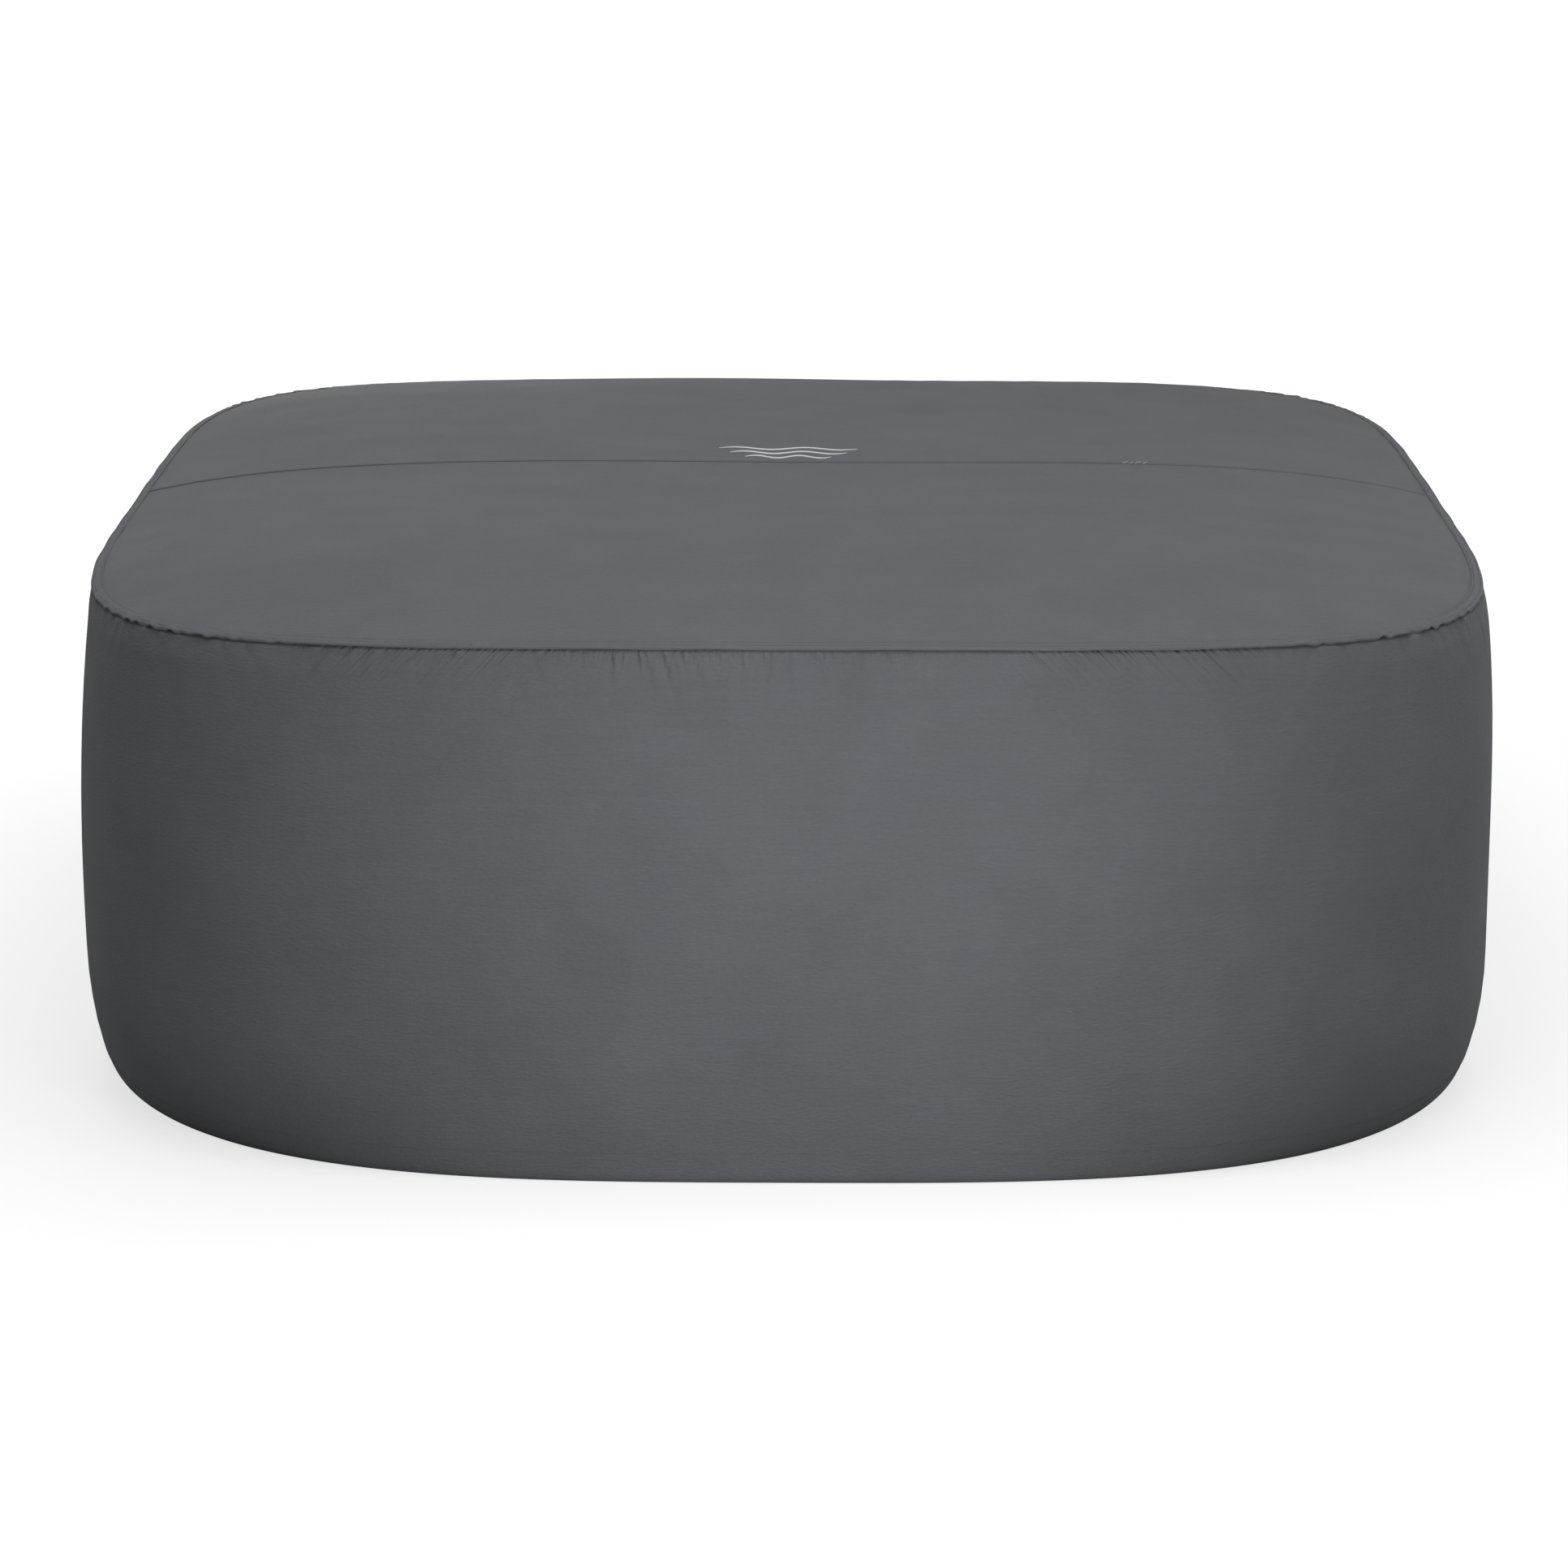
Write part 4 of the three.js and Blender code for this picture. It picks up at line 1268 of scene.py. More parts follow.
    def _join_rise(self, x: Array, across: Array) -> Array:
        """The lapped seam's height: a ledge at the front, nothing at the rear, and lower on the right."""
        share = np.clip((across + self.join_width / 2) / self.join_width, 0, 1)
        pressed = 1 - self.lap_fade * np.clip(0.5 + x / (2 * self.shell.seam_half_width), 0, 1)
        return self.join_height * pressed * (1 - share) ** 0.6 + 0.12 * MM

    @staticmethod
    def _join_sway(x: Array) -> Array:
        """A sewn line's slight wander."""
        return Drift(23, 0.25, 0.7, 0.7 * MM).at(x, np.zeros_like(x))

    def _join(self) -> Piece:
        """The lapped seam across the top."""
        reach, half = self.shell.seam_half_width - 7 * MM, self.join_width / 2
        piece = Bench.slab("top_join", Vector((-reach, -half, -1 * MM)), Vector((reach, half, 0)), 3 * MM)
        flat = Bench.places(piece)
        over = flat[:, 2] > -0.5 * MM
        flat[:, 2] = np.where(over, self._join_rise(flat[:, 0], flat[:, 1]), 0.02 * MM)
        flat[:, 1] += self._join_sway(flat[:, 0]) - self.shell.centre_y
        Bench.lay_weave(piece, flat)
        flat[:, 2] += self.relief(flat[:, 0], flat[:, 1])
        Bench.move(piece, self.shell.top(flat))
        Bench.smooth(piece, 50)
        return dress(piece, Finishes.SEAM, COVER, ["top_join_seam"])


@dataclass
class Skirt(WallPiece):
    """The walls: the outer skin in two panels, foam behind them, the foil, the rear seams and the hem.

    A wall's foam ends at pad_angle on both sides of the wall's middle, moved on by a skew that spreads the
    sheets evenly.
    """

    seam_angle: float = 54.42
    roll_height: float = 12 * MM
    roll_depth: float = 5 * MM
    hem_top: float = 42 * MM
    columns: tuple[int, int] = (1080, 190)
    rows: int = 44
    tuck: float = 5.0 * MM
    tape_width: float = 14 * MM
    cutout_width: float = 480 * MM
    cutout_height: float = 430 * MM
    cutout_corner: float = 50 * MM
    pad_angle: float = 30.0
    pad_skew: float = 0.45 / 4
    hem_fade: float = 0.05

    def __post_init__(self) -> None:
        """Works out the spans from the shell."""
        self.seam_at = self.shell.round_at(self.seam_angle)
        self.rear_span = (self.seam_at, self.shell.perimeter - self.seam_at)
        self.front_span = (-self.seam_at, self.seam_at)
        self.skin_top = self.shell.seam_height + 1.0 * MM
        zones = [*self._front_zones(), *self._corner_zones(), *self._wall_zones()]
        self.gathers = Gathers(31, self.skin_top, zones, self.shell.perimeter)
        self.slow = Drift(32, 0.35, 0.9, 1.3 * MM, stretch=1.6, period=self.shell.perimeter)

    @staticmethod
    def _front_zones() -> list[GatherZone]:
        """The front's gathers: two sizes under the middle, faint ones beside it, then slanting ones."""
        faint = {"pitch": 18 * MM, "height": 0.8 * MM, "reach": 38 * MM, "width": 2.6 * MM, "fan": 0.4}
        slanting = {"height": 1.9 * MM, "reach": 62 * MM, "width": 2.8 * MM, "fan": 0.25, "crisp": True}
        bold = {"height": 1.6 * MM, "reach": 70 * MM, "width": 2.6 * MM, "fan": 0.35, "crisp": True}
        return [
            GatherZone(-0.27, 0.18, 5 * MM, height=1.2 * MM, reach=40 * MM, width=1.7 * MM, fan=0.45),
            GatherZone(-0.25, 0.17, 15 * MM, **bold),
            GatherZone(-0.62, -0.27, **faint),
            GatherZone(0.18, 0.55, **faint),
            GatherZone(-0.60, -0.36, 34 * MM, lean=-0.9, **slanting),
            GatherZone(0.28, 0.54, 28 * MM, lean=0.9, **slanting),
        ]

    def _corner_zones(self) -> list[GatherZone]:
        """The corners' gathers: short ones all round each, and a few long ones that slant away from it."""
        short = {"pitch": 14 * MM, "height": 1.0 * MM, "reach": 40 * MM, "width": 3.0 * MM, "fan": 0.3}
        long = {"pitch": 75 * MM, "height": 1.3 * MM, "reach": 80 * MM, "width": 6 * MM}
        zones = []
        for number in range(4):
            middle = self.shell.perimeter / 8 + number * (self.shell.perimeter / 4)
            zones.append(GatherZone(middle - 0.24, middle + 0.24, **short))
            zones.append(GatherZone(middle - 0.2, middle, lean=-0.5, **long))
            zones.append(GatherZone(middle, middle + 0.2, lean=0.5, **long))
        return zones

    def _wall_zones(self) -> list[GatherZone]:
        """Slight gathers along the sides and the rear."""
        slight = {"pitch": 22 * MM, "height": 0.4 * MM, "reach": 45 * MM, "width": 2.8 * MM}
        side = self.shell.perimeter / 4
        return [GatherZone(number * side - 0.5, number * side + 0.5, **slight) for number in range(1, 4)]

    def pad_relief(self, u: Array, v: Array) -> Array:
        """Slow unevenness of the foam and what lies on it."""
        down = np.clip(self.shell.seam_height - v, 0, None)
        return self.slow.at(u, v) * ramp(down, 0.05) * ramp(v - 0.02, 0.12)

    def relief(self, u: Array, v: Array) -> Array:
        """The foam's rise, gathers under the seam, and a slight fullness below it."""
        fullness, swelling, full_reach = 2.2, 2.4, 0.12
        corner_bulge, bulge_reach = 2.0 * MM, 0.2
        down = np.clip(self.shell.seam_height - v, 0, None)
        free = ease(ramp(down - 0.6 * MM, 3.6 * MM))
        swell = ease(ramp(down, 0.035))
        full = (fullness + swelling * swell) * MM * free * np.exp(-down / full_reach) - self.tuck * (1 - free)
        bulge = corner_bulge * self.shell.corner(u) * ramp(down, 0.03) * np.exp(-down / bulge_reach)
        return self.pad_relief(u, v) + self.gathers.at(u, v) * free + full + bulge

    def _skin(self, name: str, span: tuple[float, float], columns: int) -> Piece:
        """One outer panel, flat, its cells closer together where the gathers lie."""
        start, end = span
        low = self.roll_height * (1 - math.pi / 2)
        gap = 0.2 * MM
        corners = Vector((start + gap, low, 0)), Vector((end - gap, self.skin_top, 0))
        grid = bpy.ops.mesh.primitive_grid_add
        piece = Bench.start(name, grid, x_subdivisions=columns, y_subdivisions=self.rows)
        flat = Bench.places(piece)
        share = (flat[:, :2] - flat[:, :2].min(0)) / np.ptp(flat[:, :2], axis=0)
        u = np.linspace(corners[0].x, corners[1].x, 4000)
        round_density = 1 + 7 * self._near(u, 0, 0.62) + 3.2 * self.shell.corner(u, 0.32)
        flat[:, 0] = self._crowd(u, round_density, share[:, 0])
        v = np.linspace(corners[0].y, corners[1].y, 2000)
        under_seam = ramp(v - self.skin_top + 0.09, 0.05)
        up_density = 1 + 9 * under_seam + 8 * (v < 2 * self.roll_height)
        flat[:, 1] = self._crowd(v, up_density, share[:, 1])
        Bench.move(piece, flat)
        Bench.apply(piece, "SOLIDIFY", thickness=self.layers.fabric, offset=-1)
        return piece

    @staticmethod
    def _near(u: Array, middle: float, reach: float) -> Array:
        """1 near a place, falling to 0 outside its reach."""
        return np.clip(2 * (1 - np.abs(u - middle) / reach), 0, 1)

    @staticmethod
    def _crowd(line: Array, density: Array, share: Array) -> Array:
        """Places at even shares of the cells along a line, with the cells as close as the density asks."""
        total = np.concatenate([[0], np.cumsum((density[1:] + density[:-1]) / 2 * np.diff(line))])
        return np.interp(share, total / total[-1], line)

    def _roll(self, flat: Array) -> Array:
        """Turns the lowest part of a flat panel in under the hem."""
        turn = np.clip((self.roll_height - flat[:, 1]) / self.roll_height, 0, math.pi / 2)
        low = turn > 0
        height = self.roll_height * (1 - np.sin(turn)) - flat[:, 2] * np.sin(turn)
        flat[:, 1] = np.maximum(np.where(low, height, flat[:, 1]), 0)
        out = flat[:, 2] * np.cos(turn) - self.roll_depth * (1 - np.cos(turn))
        flat[:, 2] = np.where(low, out, flat[:, 2])
        return flat

    def _cutter(self) -> Piece:
        """The pump opening's block, its top corners rounded."""
        width, height = self.cutout_width, self.cutout_height
        piece = Bench.start(
            "opening_block",
            bpy.ops.mesh.primitive_cube_add,
            size=1,
            location=(self.shell.perimeter / 2, height / 2 - 0.1, 0),
            scale=(width, height + 0.2, 0.2),
        )
        Bench.select_edges(piece, lambda a, b: min(a[1], b[1]) > height - 0.01 and abs(a[2] - b[2]) > 0.1)
        Bench.edit(piece, bpy.ops.mesh.bevel, offset=self.cutout_corner, segments=8)
        return piece

    def _open(self, piece: Piece) -> None:
        """Cuts the pump opening out of a flat piece."""
        cutter = self._cutter()
        Bench.apply(piece, "BOOLEAN", operation="DIFFERENCE", object=cutter, solver="EXACT")
        bpy.data.objects.remove(cutter)

    def _finish_skin(self, piece: Piece) -> None:
        """Rolls the hem and wraps an outer panel."""
        flat = Bench.places(piece)
        Bench.lay_weave(piece, flat)
        relief = self.relief(flat[:, 0], flat[:, 1])
        flat = self._roll(flat)
        flat[:, 2] += relief * ramp(flat[:, 1], self.hem_fade)
        Bench.move(piece, self.shell.wall(flat))
        Bench.smooth(piece, 50)

    def build(self, stitcher: Stitcher) -> None:
        """Builds and dresses the skirt."""
        layers, shell = self.layers, self.shell
        crinkle = Drift(37, 0.03, 0.09, 0.35 * MM)
        spans = {"front": self.front_span, "rear": self.rear_span}
        tapes = self._tapes(stitcher)
        hem = self._hem(stitcher)
        pads = self._pads()
        for columns, (side, (start, end)) in zip(self.columns, spans.items()):
            piece = self._skin(f"skirt_skin_{side}", (start, end), columns)
            foil = Bench.slab(
                f"skirt_foil_{side}",
                Vector((start + 1 * MM, self.hem_top + 1 * MM, -layers.foil_in)),
                Vector((end - 1 * MM, shell.seam_height - 1 * MM, -layers.foil_out)),
                16 * MM,
            )
            hole = lining_hole = 0.0
            if side == "rear":
                self._open(piece)
                self._open(foil)
                hole = self.cutout_width * self.cutout_height
                lining_hole = hole - self.hem_top * self.cutout_width
            self._finish_skin(piece)
            self.wrap(foil, lambda u, v: self.pad_relief(u, v) + np.minimum(crinkle.at(u, v), 0))
            dress(piece, Finishes.WALL, COVER, [f"skirt_panel_{side}"])
            dress(foil, Finishes.FOIL, COVER, [f"skirt_lining_{side}"])

    def _tapes(self, stitcher: Stitcher) -> list[Piece]:
        """The two flat-felled seams at the rear, each with its two rows of stitches."""
        made = []
        for side, middle in (("right", self.seam_at), ("left", self.shell.perimeter - self.seam_at)):
            half = self.tape_width / 2
            low = Vector((middle - half, 14 * MM, 0.1 * MM))
            high = Vector((middle + half, self.shell.seam_height - 6 * MM, 1.3 * MM))
            piece = Bench.slab(f"rear_seam_{side}", low, high, 3.5 * MM, 0.5 * MM)
            self.wrap(piece, self.relief)
            dress(piece, Finishes.SEAM, COVER, [f"rear_seam_tape_{side}"])
            rows = [
                self._upright(middle + offset, low.y + 3 * MM, high.y, 1.4 * MM)
                for offset in (-4 * MM, 4 * MM)
            ]
            made += [piece, stitcher.seam(f"rear_seam_stitching_{side}", rows, COVER)]
        return made

    def _upright(self, u: float, low: float, high: float, out: float) -> Array:
        """A thread path straight up the wall, on the skin's relief."""
        v = np.linspace(low, high, 160)
        u_all = np.full_like(v, u)
        return self.shell.wall(np.column_stack([u_all, v, out + self.relief(u_all, v)]))

    def _hem(self, stitcher: Stitcher) -> list[Piece]:
        """The hem casing, a flat tube with the elastic inside, and its topstitching."""
        half = self.cutout_width / 2 + 1 * MM
        start = self.shell.rear(-half) - self.shell.perimeter
        end = self.shell.rear(half)
        inner, outer, top = self.layers.foil_in + 0.6 * MM, 1.3 * MM, self.hem_top
        section = self._casing_section(outer, inner, top)
        steps = round((end - start) / (12 * MM))
        grid = Bench.start(
            "hem_tube",
            bpy.ops.mesh.primitive_grid_add,
            x_subdivisions=steps,
            y_subdivisions=len(section),
            size=1,
        )
        flat = Bench.places(grid)
        along = (flat[:, 0] - flat[:, 0].min()) / np.ptp(flat[:, 0])
        number = np.rint((flat[:, 1] - flat[:, 1].min()) / np.ptp(flat[:, 1]) * len(section)).astype(int)
        points = np.array([*section, section[0]])
        lengths = np.concatenate([[0], np.cumsum(np.linalg.norm(np.diff(points, axis=0), axis=1))])
        u = start + along * (end - start)
        Bench.lay_weave(grid, np.column_stack([u, lengths[number]]))
        inside = points[number, 0] < -0.5 * (outer + inner)
        ripple = 0.35 * MM * np.sin(2 * math.pi * u / (16 * MM)) * inside
        Bench.move(grid, np.column_stack([u, points[number, 1], points[number, 0] + ripple]))
        Bench.select(grid, lambda centres, normals: np.ones(len(centres), bool))
        Bench.edit(grid, bpy.ops.mesh.remove_doubles, threshold=0.01 * MM)
        Bench.face_out(grid)
        Bench.apply(grid, "SOLIDIFY", thickness=0.9 * MM, offset=-1)
        Bench.move(grid, self.shell.wall(Bench.places(grid)))
        Bench.smooth(grid, 50)
        dress(grid, Finishes.SKIN, COVER, ["hem_casing"])
        return [grid, self._elastic(start, end), self._hem_stitching(stitcher, start, end)]

    @staticmethod
    def _casing_section(outer: float, inner: float, top: float) -> list[tuple[float, float]]:
        """The casing's section, as points of (how far out, height), clockwise from the outer top."""
        middle, half, foot = -(outer + inner) / 2, (inner - outer) / 2, 5.5 * MM
        low = 1.2 * MM
        arc = [
            (middle + half * math.cos(t), low + foot * (1 - math.sin(t)))
            for t in np.linspace(0, math.pi, 9)
        ]
        outer_side = [(-outer, height) for height in np.linspace(top - 1.5 * MM, low + foot, 5)[:-1]]
        inner_side = [(-inner, height) for height in np.linspace(low + foot, top - 1.5 * MM, 5)[1:]]
        return [(middle, top), *outer_side, *arc, *inner_side]

    def _elastic(self, start: float, end: float) -> Piece:
        """The flat elastic, ruched on its way round."""
        margin, middle = 4 * MM, -6 * MM
        low = Vector((start + margin, 12 * MM, middle - 0.8 * MM))
        high = Vector((end - margin, 34 * MM, middle + 0.8 * MM))
        piece = Bench.slab("hem_elastic_band", low, high, 5 * MM)
        self.wrap(piece, lambda u, v: 0.7 * MM * np.sin(2 * math.pi * u / (22 * MM)))
        return dress(piece, Finishes.ELASTIC, COVER, ["hem_elastic"])

    def _hem_stitching(self, stitcher: Stitcher, start: float, end: float) -> Piece:
        """The row that holds the hem."""
        u = np.linspace(start + 3 * MM, end - 3 * MM, 1400)
        v = np.full_like(u, self.hem_top - 3 * MM)
        relief = self.relief(u, v) * ramp(v, self.hem_fade)
        path = self.shell.wall(np.column_stack([u, v, relief + 0.02 * MM]))
        return stitcher.seam("hem_stitching", [path], COVER)

    def _pads(self) -> list[Piece]:
        """The foam sheets of the walls and corners."""
        skew = self.pad_skew * math.sin(math.radians(4 * self.pad_angle))
        half = self.pad_angle + math.degrees(skew)
        sides = ("right", "rear", "left", "front")
        corners = ("rear_right", "rear_left", "front_left", "front_right")
        made = [self._pad(f"foam_{name}", 90 * i - half, 90 * i + half) for i, name in enumerate(sides)]
        for i, name in enumerate(corners):
            made.append(self._pad(f"foam_corner_{name}", 90 * i + half, 90 * (i + 1) - half))
        return made

    def _way(self, angle: float) -> float:
        """The way round to a plan angle in degrees, which may run on past the front's middle."""
        if angle > 270:
            return self.shell.round_at(angle - 360) + self.shell.perimeter
        return self.shell.round_at(angle)

    def _pad(self, node: str, start: float, end: float) -> Piece:
        """One foam sheet between two plan angles in degrees, its rim rounded."""
        gap = 0.8 * MM
        low = Vector((self._way(start) + gap, self.hem_top + 1 * MM, -self.layers.foam_in))
        high = Vector((self._way(end) - gap, self.shell.seam_height - 12 * MM, -self.layers.foam_out))
        piece = Bench.slab(node.replace("foam", "pad"), low, high, 24 * MM)
        if node == "foam_rear":
            self._open(piece)
        Bench.round_rim(piece, 2 * MM)
        self.wrap(piece, self.pad_relief)
        dress(piece, Finishes.FOAM, COVER, [node])
        return piece


@dataclass(kw_only=True)
class PumpOpening(WallPiece):
    """The bound opening at the rear, the loop strips beside it, the hinge tape and the care label."""

    skirt: Skirt
    thickness: float = 2.6 * MM

    def _outline(self) -> Array:
        """Points up one side of the opening, over the top and down the other, as rows of (round, height)."""
        half, height = self.skirt.cutout_width / 2, self.skirt.cutout_height
        corner = self.skirt.cutout_corner
        turn = np.linspace(0, math.pi / 2, 13)
        rise = height - corner
        up = np.linspace(2 * MM, rise, 60)[:-1]
        over = np.linspace(half - corner, -half + corner, 50)[1:-1]
        x = [np.full_like(up, half), half - corner + corner * np.cos(turn), over]
        z = [up, rise + corner * np.sin(turn), np.full_like(over, height)]
        x += [-x[1][::-1], -x[0][::-1]]
        z += [z[1][::-1], z[0][::-1]]
        return np.column_stack([self.shell.perimeter / 2 - np.concatenate(x), np.concatenate(z)])

    def build(self, stitcher: Stitcher) -> None:
        """Builds and dresses the opening."""
        self._binding()
        self._strips()
        self._hinge_tape(stitcher)
        self._label(stitcher)

    def _binding(self) -> None:
        """A folded tape round the opening's raw edges."""
        outline = self._outline()
        tangent = np.gradient(outline, axis=0)
        tangent /= np.linalg.norm(tangent, axis=1)[:, None]
        inward = np.column_stack([tangent[:, 1], -tangent[:, 0]])
        if inward[0, 0] < 0:
            inward = -inward
        turns = np.linspace(0, 2 * math.pi, 15)[:-1]
        depth = self.layers.foil_in / 2
        across = self.thickness * (0.5 + 0.5 * np.cos(turns)) - 1.2 * MM
        out = -depth + (depth + 0.9 * MM) * np.sign(np.sin(turns)) * np.abs(np.sin(turns)) ** 0.5
        piece = Bench.start(
            "opening_binding",
            bpy.ops.mesh.primitive_cylinder_add,
            vertices=len(turns),
            radius=1,
            depth=1,
            end_fill_type="NGON",
        )
        Bench.select_edges(piece, lambda a, b: abs(a[2] - b[2]) > 0.5)
        Bench.edit(piece, bpy.ops.mesh.subdivide, number_cuts=len(outline) - 2)
        flat = Bench.places(piece)
        step = np.rint((flat[:, 2] + 0.5) * (len(outline) - 1)).astype(int)
        around = np.mod(np.rint(np.arctan2(flat[:, 1], flat[:, 0]) / (2 * math.pi) * len(turns)), len(turns))
        around = around.astype(int)
        ripple = 0.25 * MM * np.sin(step * 2.1) * (across[around] > 0)
        place = outline[step] + inward[step] * (across[around] + ripple)[:, None]
        flat = np.column_stack([place, out[around]])
        Bench.lay_weave(piece, np.column_stack([step * 8 * MM, around * 2 * MM]))
        Bench.move(piece, self.shell.wall(flat))
        Bench.face_out(piece)
        Bench.smooth(piece, 60)
        dress(piece, Finishes.SEAM, COVER, ["cutout_binding"])

    def _strips(self) -> None:
        """The two loop strips."""
        for side in ("right", "left"):
            node = f"loop_strip_{side}"
            low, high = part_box(node)
            middle = self.shell.rear((low.x + high.x) / 2)
            half = (high.x - low.x) / 2
            corners = Vector((middle - half, low.z, 0.4 * MM)), Vector((middle + half, high.z, 2.2 * MM))
            piece = Bench.slab(f"loop_tape_{side}", *corners, 6 * MM, 0.6 * MM)
            self.wrap(piece)
            dress(piece, Finishes.LOOP, COVER, [node])

    def _hinge_tape(self, stitcher: Stitcher) -> None:
        """The tape that holds the flap's top edge, with two rows of stitches."""
        low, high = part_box("flap_hinge_tape")
        start, end = self.shell.rear(high.x), self.shell.rear(low.x)
        corners = Vector((start, low.z, 0.3 * MM)), Vector((end, high.z, 2.0 * MM))
        piece = Bench.slab("hinge_tape", *corners, 5 * MM, 0.6 * MM)
        self.wrap(piece, self.skirt.relief)
        dress(piece, Finishes.SEAM, COVER, ["flap_hinge_tape"])
        u = np.linspace(start + 4 * MM, end - 4 * MM, 120)
        rows = []
        for height in (low.z + 4 * MM, high.z - 4 * MM):
            v = np.full_like(u, height)
            rows.append(self.shell.wall(np.column_stack([u, v, 2.1 * MM + self.skirt.relief(u, v)])))
        stitcher.seam("hinge_stitching", rows, COVER)

    def _label(self, stitcher: Stitcher) -> None:
        """The blank care label, sewn down along its sides."""
        low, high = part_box("care_label")
        middle, half = self.shell.rear((low.x + high.x) / 2), (high.x - low.x) / 2
        corners = Vector((middle - half, low.z, 0.4 * MM)), Vector((middle + half, high.z, 1.0 * MM))
        piece = Bench.slab("care_label_patch", *corners, 2 * MM, 0.2 * MM)
        curl = 0.5 * MM

        def lift(u: Array, v: Array) -> Array:
            """The label bows a little between its sewn sides."""
            bow = curl * np.cos(math.pi * (u - middle) / (2 * half)) ** 2
            return bow + self.skirt.relief(u, v)

        self.wrap(piece, lift)
        dress(piece, Finishes.SATIN, COVER, ["care_label"])
        v = np.linspace(low.z + 2 * MM, high.z - 2 * MM, 20)
        rows = []
        for side in (-1, 1):
            u = np.full_like(v, middle + side * (half - 2.5 * MM))
            rows.append(self.shell.wall(np.column_stack([u, v, 1.15 * MM + lift(u, v)])))
        stitcher.seam("label_stitching", rows, COVER)


@dataclass
class PumpFlap(WallPiece):
    """The flap over the opening: skin, foam, foil, hook strips, pull tab and the sewn bend at its top."""

    width: float = 540 * MM
    low: float = 8 * MM
    high: float = 470 * MM
    skin_out: float = 11.1 * MM
    edge_turn: float = 6 * MM
    puff: float = 2.2 * MM
    quilt_inset: float = 14 * MM

    def __post_init__(self) -> None:
        """The flap's span round the wall."""
        self.start = self.shell.rear(self.width / 2)
        self.end = self.shell.rear(-self.width / 2)
        self.middle = (self.start + self.end) / 2

    def _edge(self, u: Array, v: Array) -> Array:
        """Distance from each flat point to the flap's nearest edge."""
        return np.minimum(np.minimum(u - self.start, self.end - u), np.minimum(v - self.low, self.high - v))

    def relief(self, u: Array, v: Array) -> Array:
        """The skin turns down at its edges, dips at the stitched line and crowns over the foam."""
        edge = np.maximum(self._edge(u, v), 0)
        turned = np.clip(1 - edge / self.edge_turn, 0, 1)
        drop = -(5.6 * MM) * (1 - np.sqrt(np.maximum(1 - turned**2, 0)))
        dip = -1.7 * MM * np.exp(-(((edge - self.quilt_inset) / (3.5 * MM)) ** 2))
        crown = self.puff * (1 - np.exp(-np.clip(edge - self.quilt_inset, 0, None) / (45 * MM)))
        slow = Drift(41, 0.12, 0.3, 0.6 * MM).at(u, v) * ramp(edge, 0.05)
        near = np.exp(-(((edge - self.quilt_inset - 3 * MM) / (6 * MM)) ** 2))
        pull = 0.8 * MM * np.sin(2 * math.pi * (u + v) / (19 * MM)) * near
        return drop + dip + crown + slow + pull

    def build(self, stitcher: Stitcher) -> None:
        """Builds and dresses the flap."""
        skin = self._layer("flap_skin", 0, self.skin_out - 1 * MM, self.skin_out, 3.5 * MM, self.relief)
        dress(skin, Finishes.SKIN, FLAP, ["flap_panel"])
        pad = self._pad()
        crinkle = Drift(43, 0.02, 0.06, 0.25 * MM)
        foil = self._layer("flap_foil", 3 * MM, 4.5 * MM, 5.4 * MM, 8 * MM, crinkle.at)
        dress(foil, Finishes.FOIL, FLAP, ["flap_lining"])
        strips = [self._hook(side) for side in ("right", "left")]
        tab = self._tab(stitcher)
        edge_thread = stitcher.seam("flap_stitching", [self._edge_path()], FLAP)
        bend = self._bend()

    def _layer(
        self, name: str, inset: float, inner: float, outer: float, cell: float, relief: Field
    ) -> Piece:
        """One fabric or foil layer of the flap."""
        low = Vector((self.start + inset, self.low + inset, inner))
        high = Vector((self.end - inset, self.high - inset, outer))
        return self.wrap(Bench.slab(name, low, high, cell), relief)

    def _pad(self) -> Piece:
        """The foam, its outer face pressed down along the stitched line."""
        inset, inner, outer = 8 * MM, 5.8 * MM, 9.8 * MM
        low = Vector((self.start + inset, self.low + inset, inner))
        high = Vector((self.end - inset, self.high - inset, outer))
        piece = Bench.slab("flap_pad", low, high, 4 * MM, 1.2 * MM)
        flat = Bench.places(piece)
        u, v = flat[:, 0], flat[:, 1]
        near = np.exp(-(((self._edge(u, v) - self.quilt_inset) / (7 * MM)) ** 2))
        pressed = np.minimum(self.relief(u, v), 0) - 0.9 * MM * near
        flat[:, 2] += np.where(flat[:, 2] > (inner + outer) / 2, pressed, 0)
        Bench.move(piece, flat)
        self.wrap(piece)
        dress(piece, Finishes.FOAM, FLAP, ["flap_foam"])
        return piece

    def _edge_path(self) -> Array:
        """The stitched line inside the flap's edge, closed."""
        inset = self.quilt_inset
        left, right = self.start + inset, self.end - inset
        low, high = self.low + inset, self.high - inset
        flat = polyline([(left, low), (right, low), (right, high), (left, high), (left, low)], 90)
        out = self.skin_out + self.relief(flat[:, 0], flat[:, 1]) + 0.05 * MM
        return self.shell.wall(np.column_stack([flat, out]))

    def _hook(self, side: str) -> Piece:
        """One hook strip on the flap's inner face."""
        node = f"hook_strip_{side}"
        low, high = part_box(node)
        middle, half = self.shell.rear((low.x + high.x) / 2), (high.x - low.x) / 2
        corners = Vector((middle - half, low.z, 2.7 * MM)), Vector((middle + half, high.z, 4.3 * MM))
        piece = Bench.slab(f"hook_tape_{side}", *corners, 6 * MM, 0.5 * MM)
        self.wrap(piece)
        return dress(piece, Finishes.HOOK, FLAP, [node])

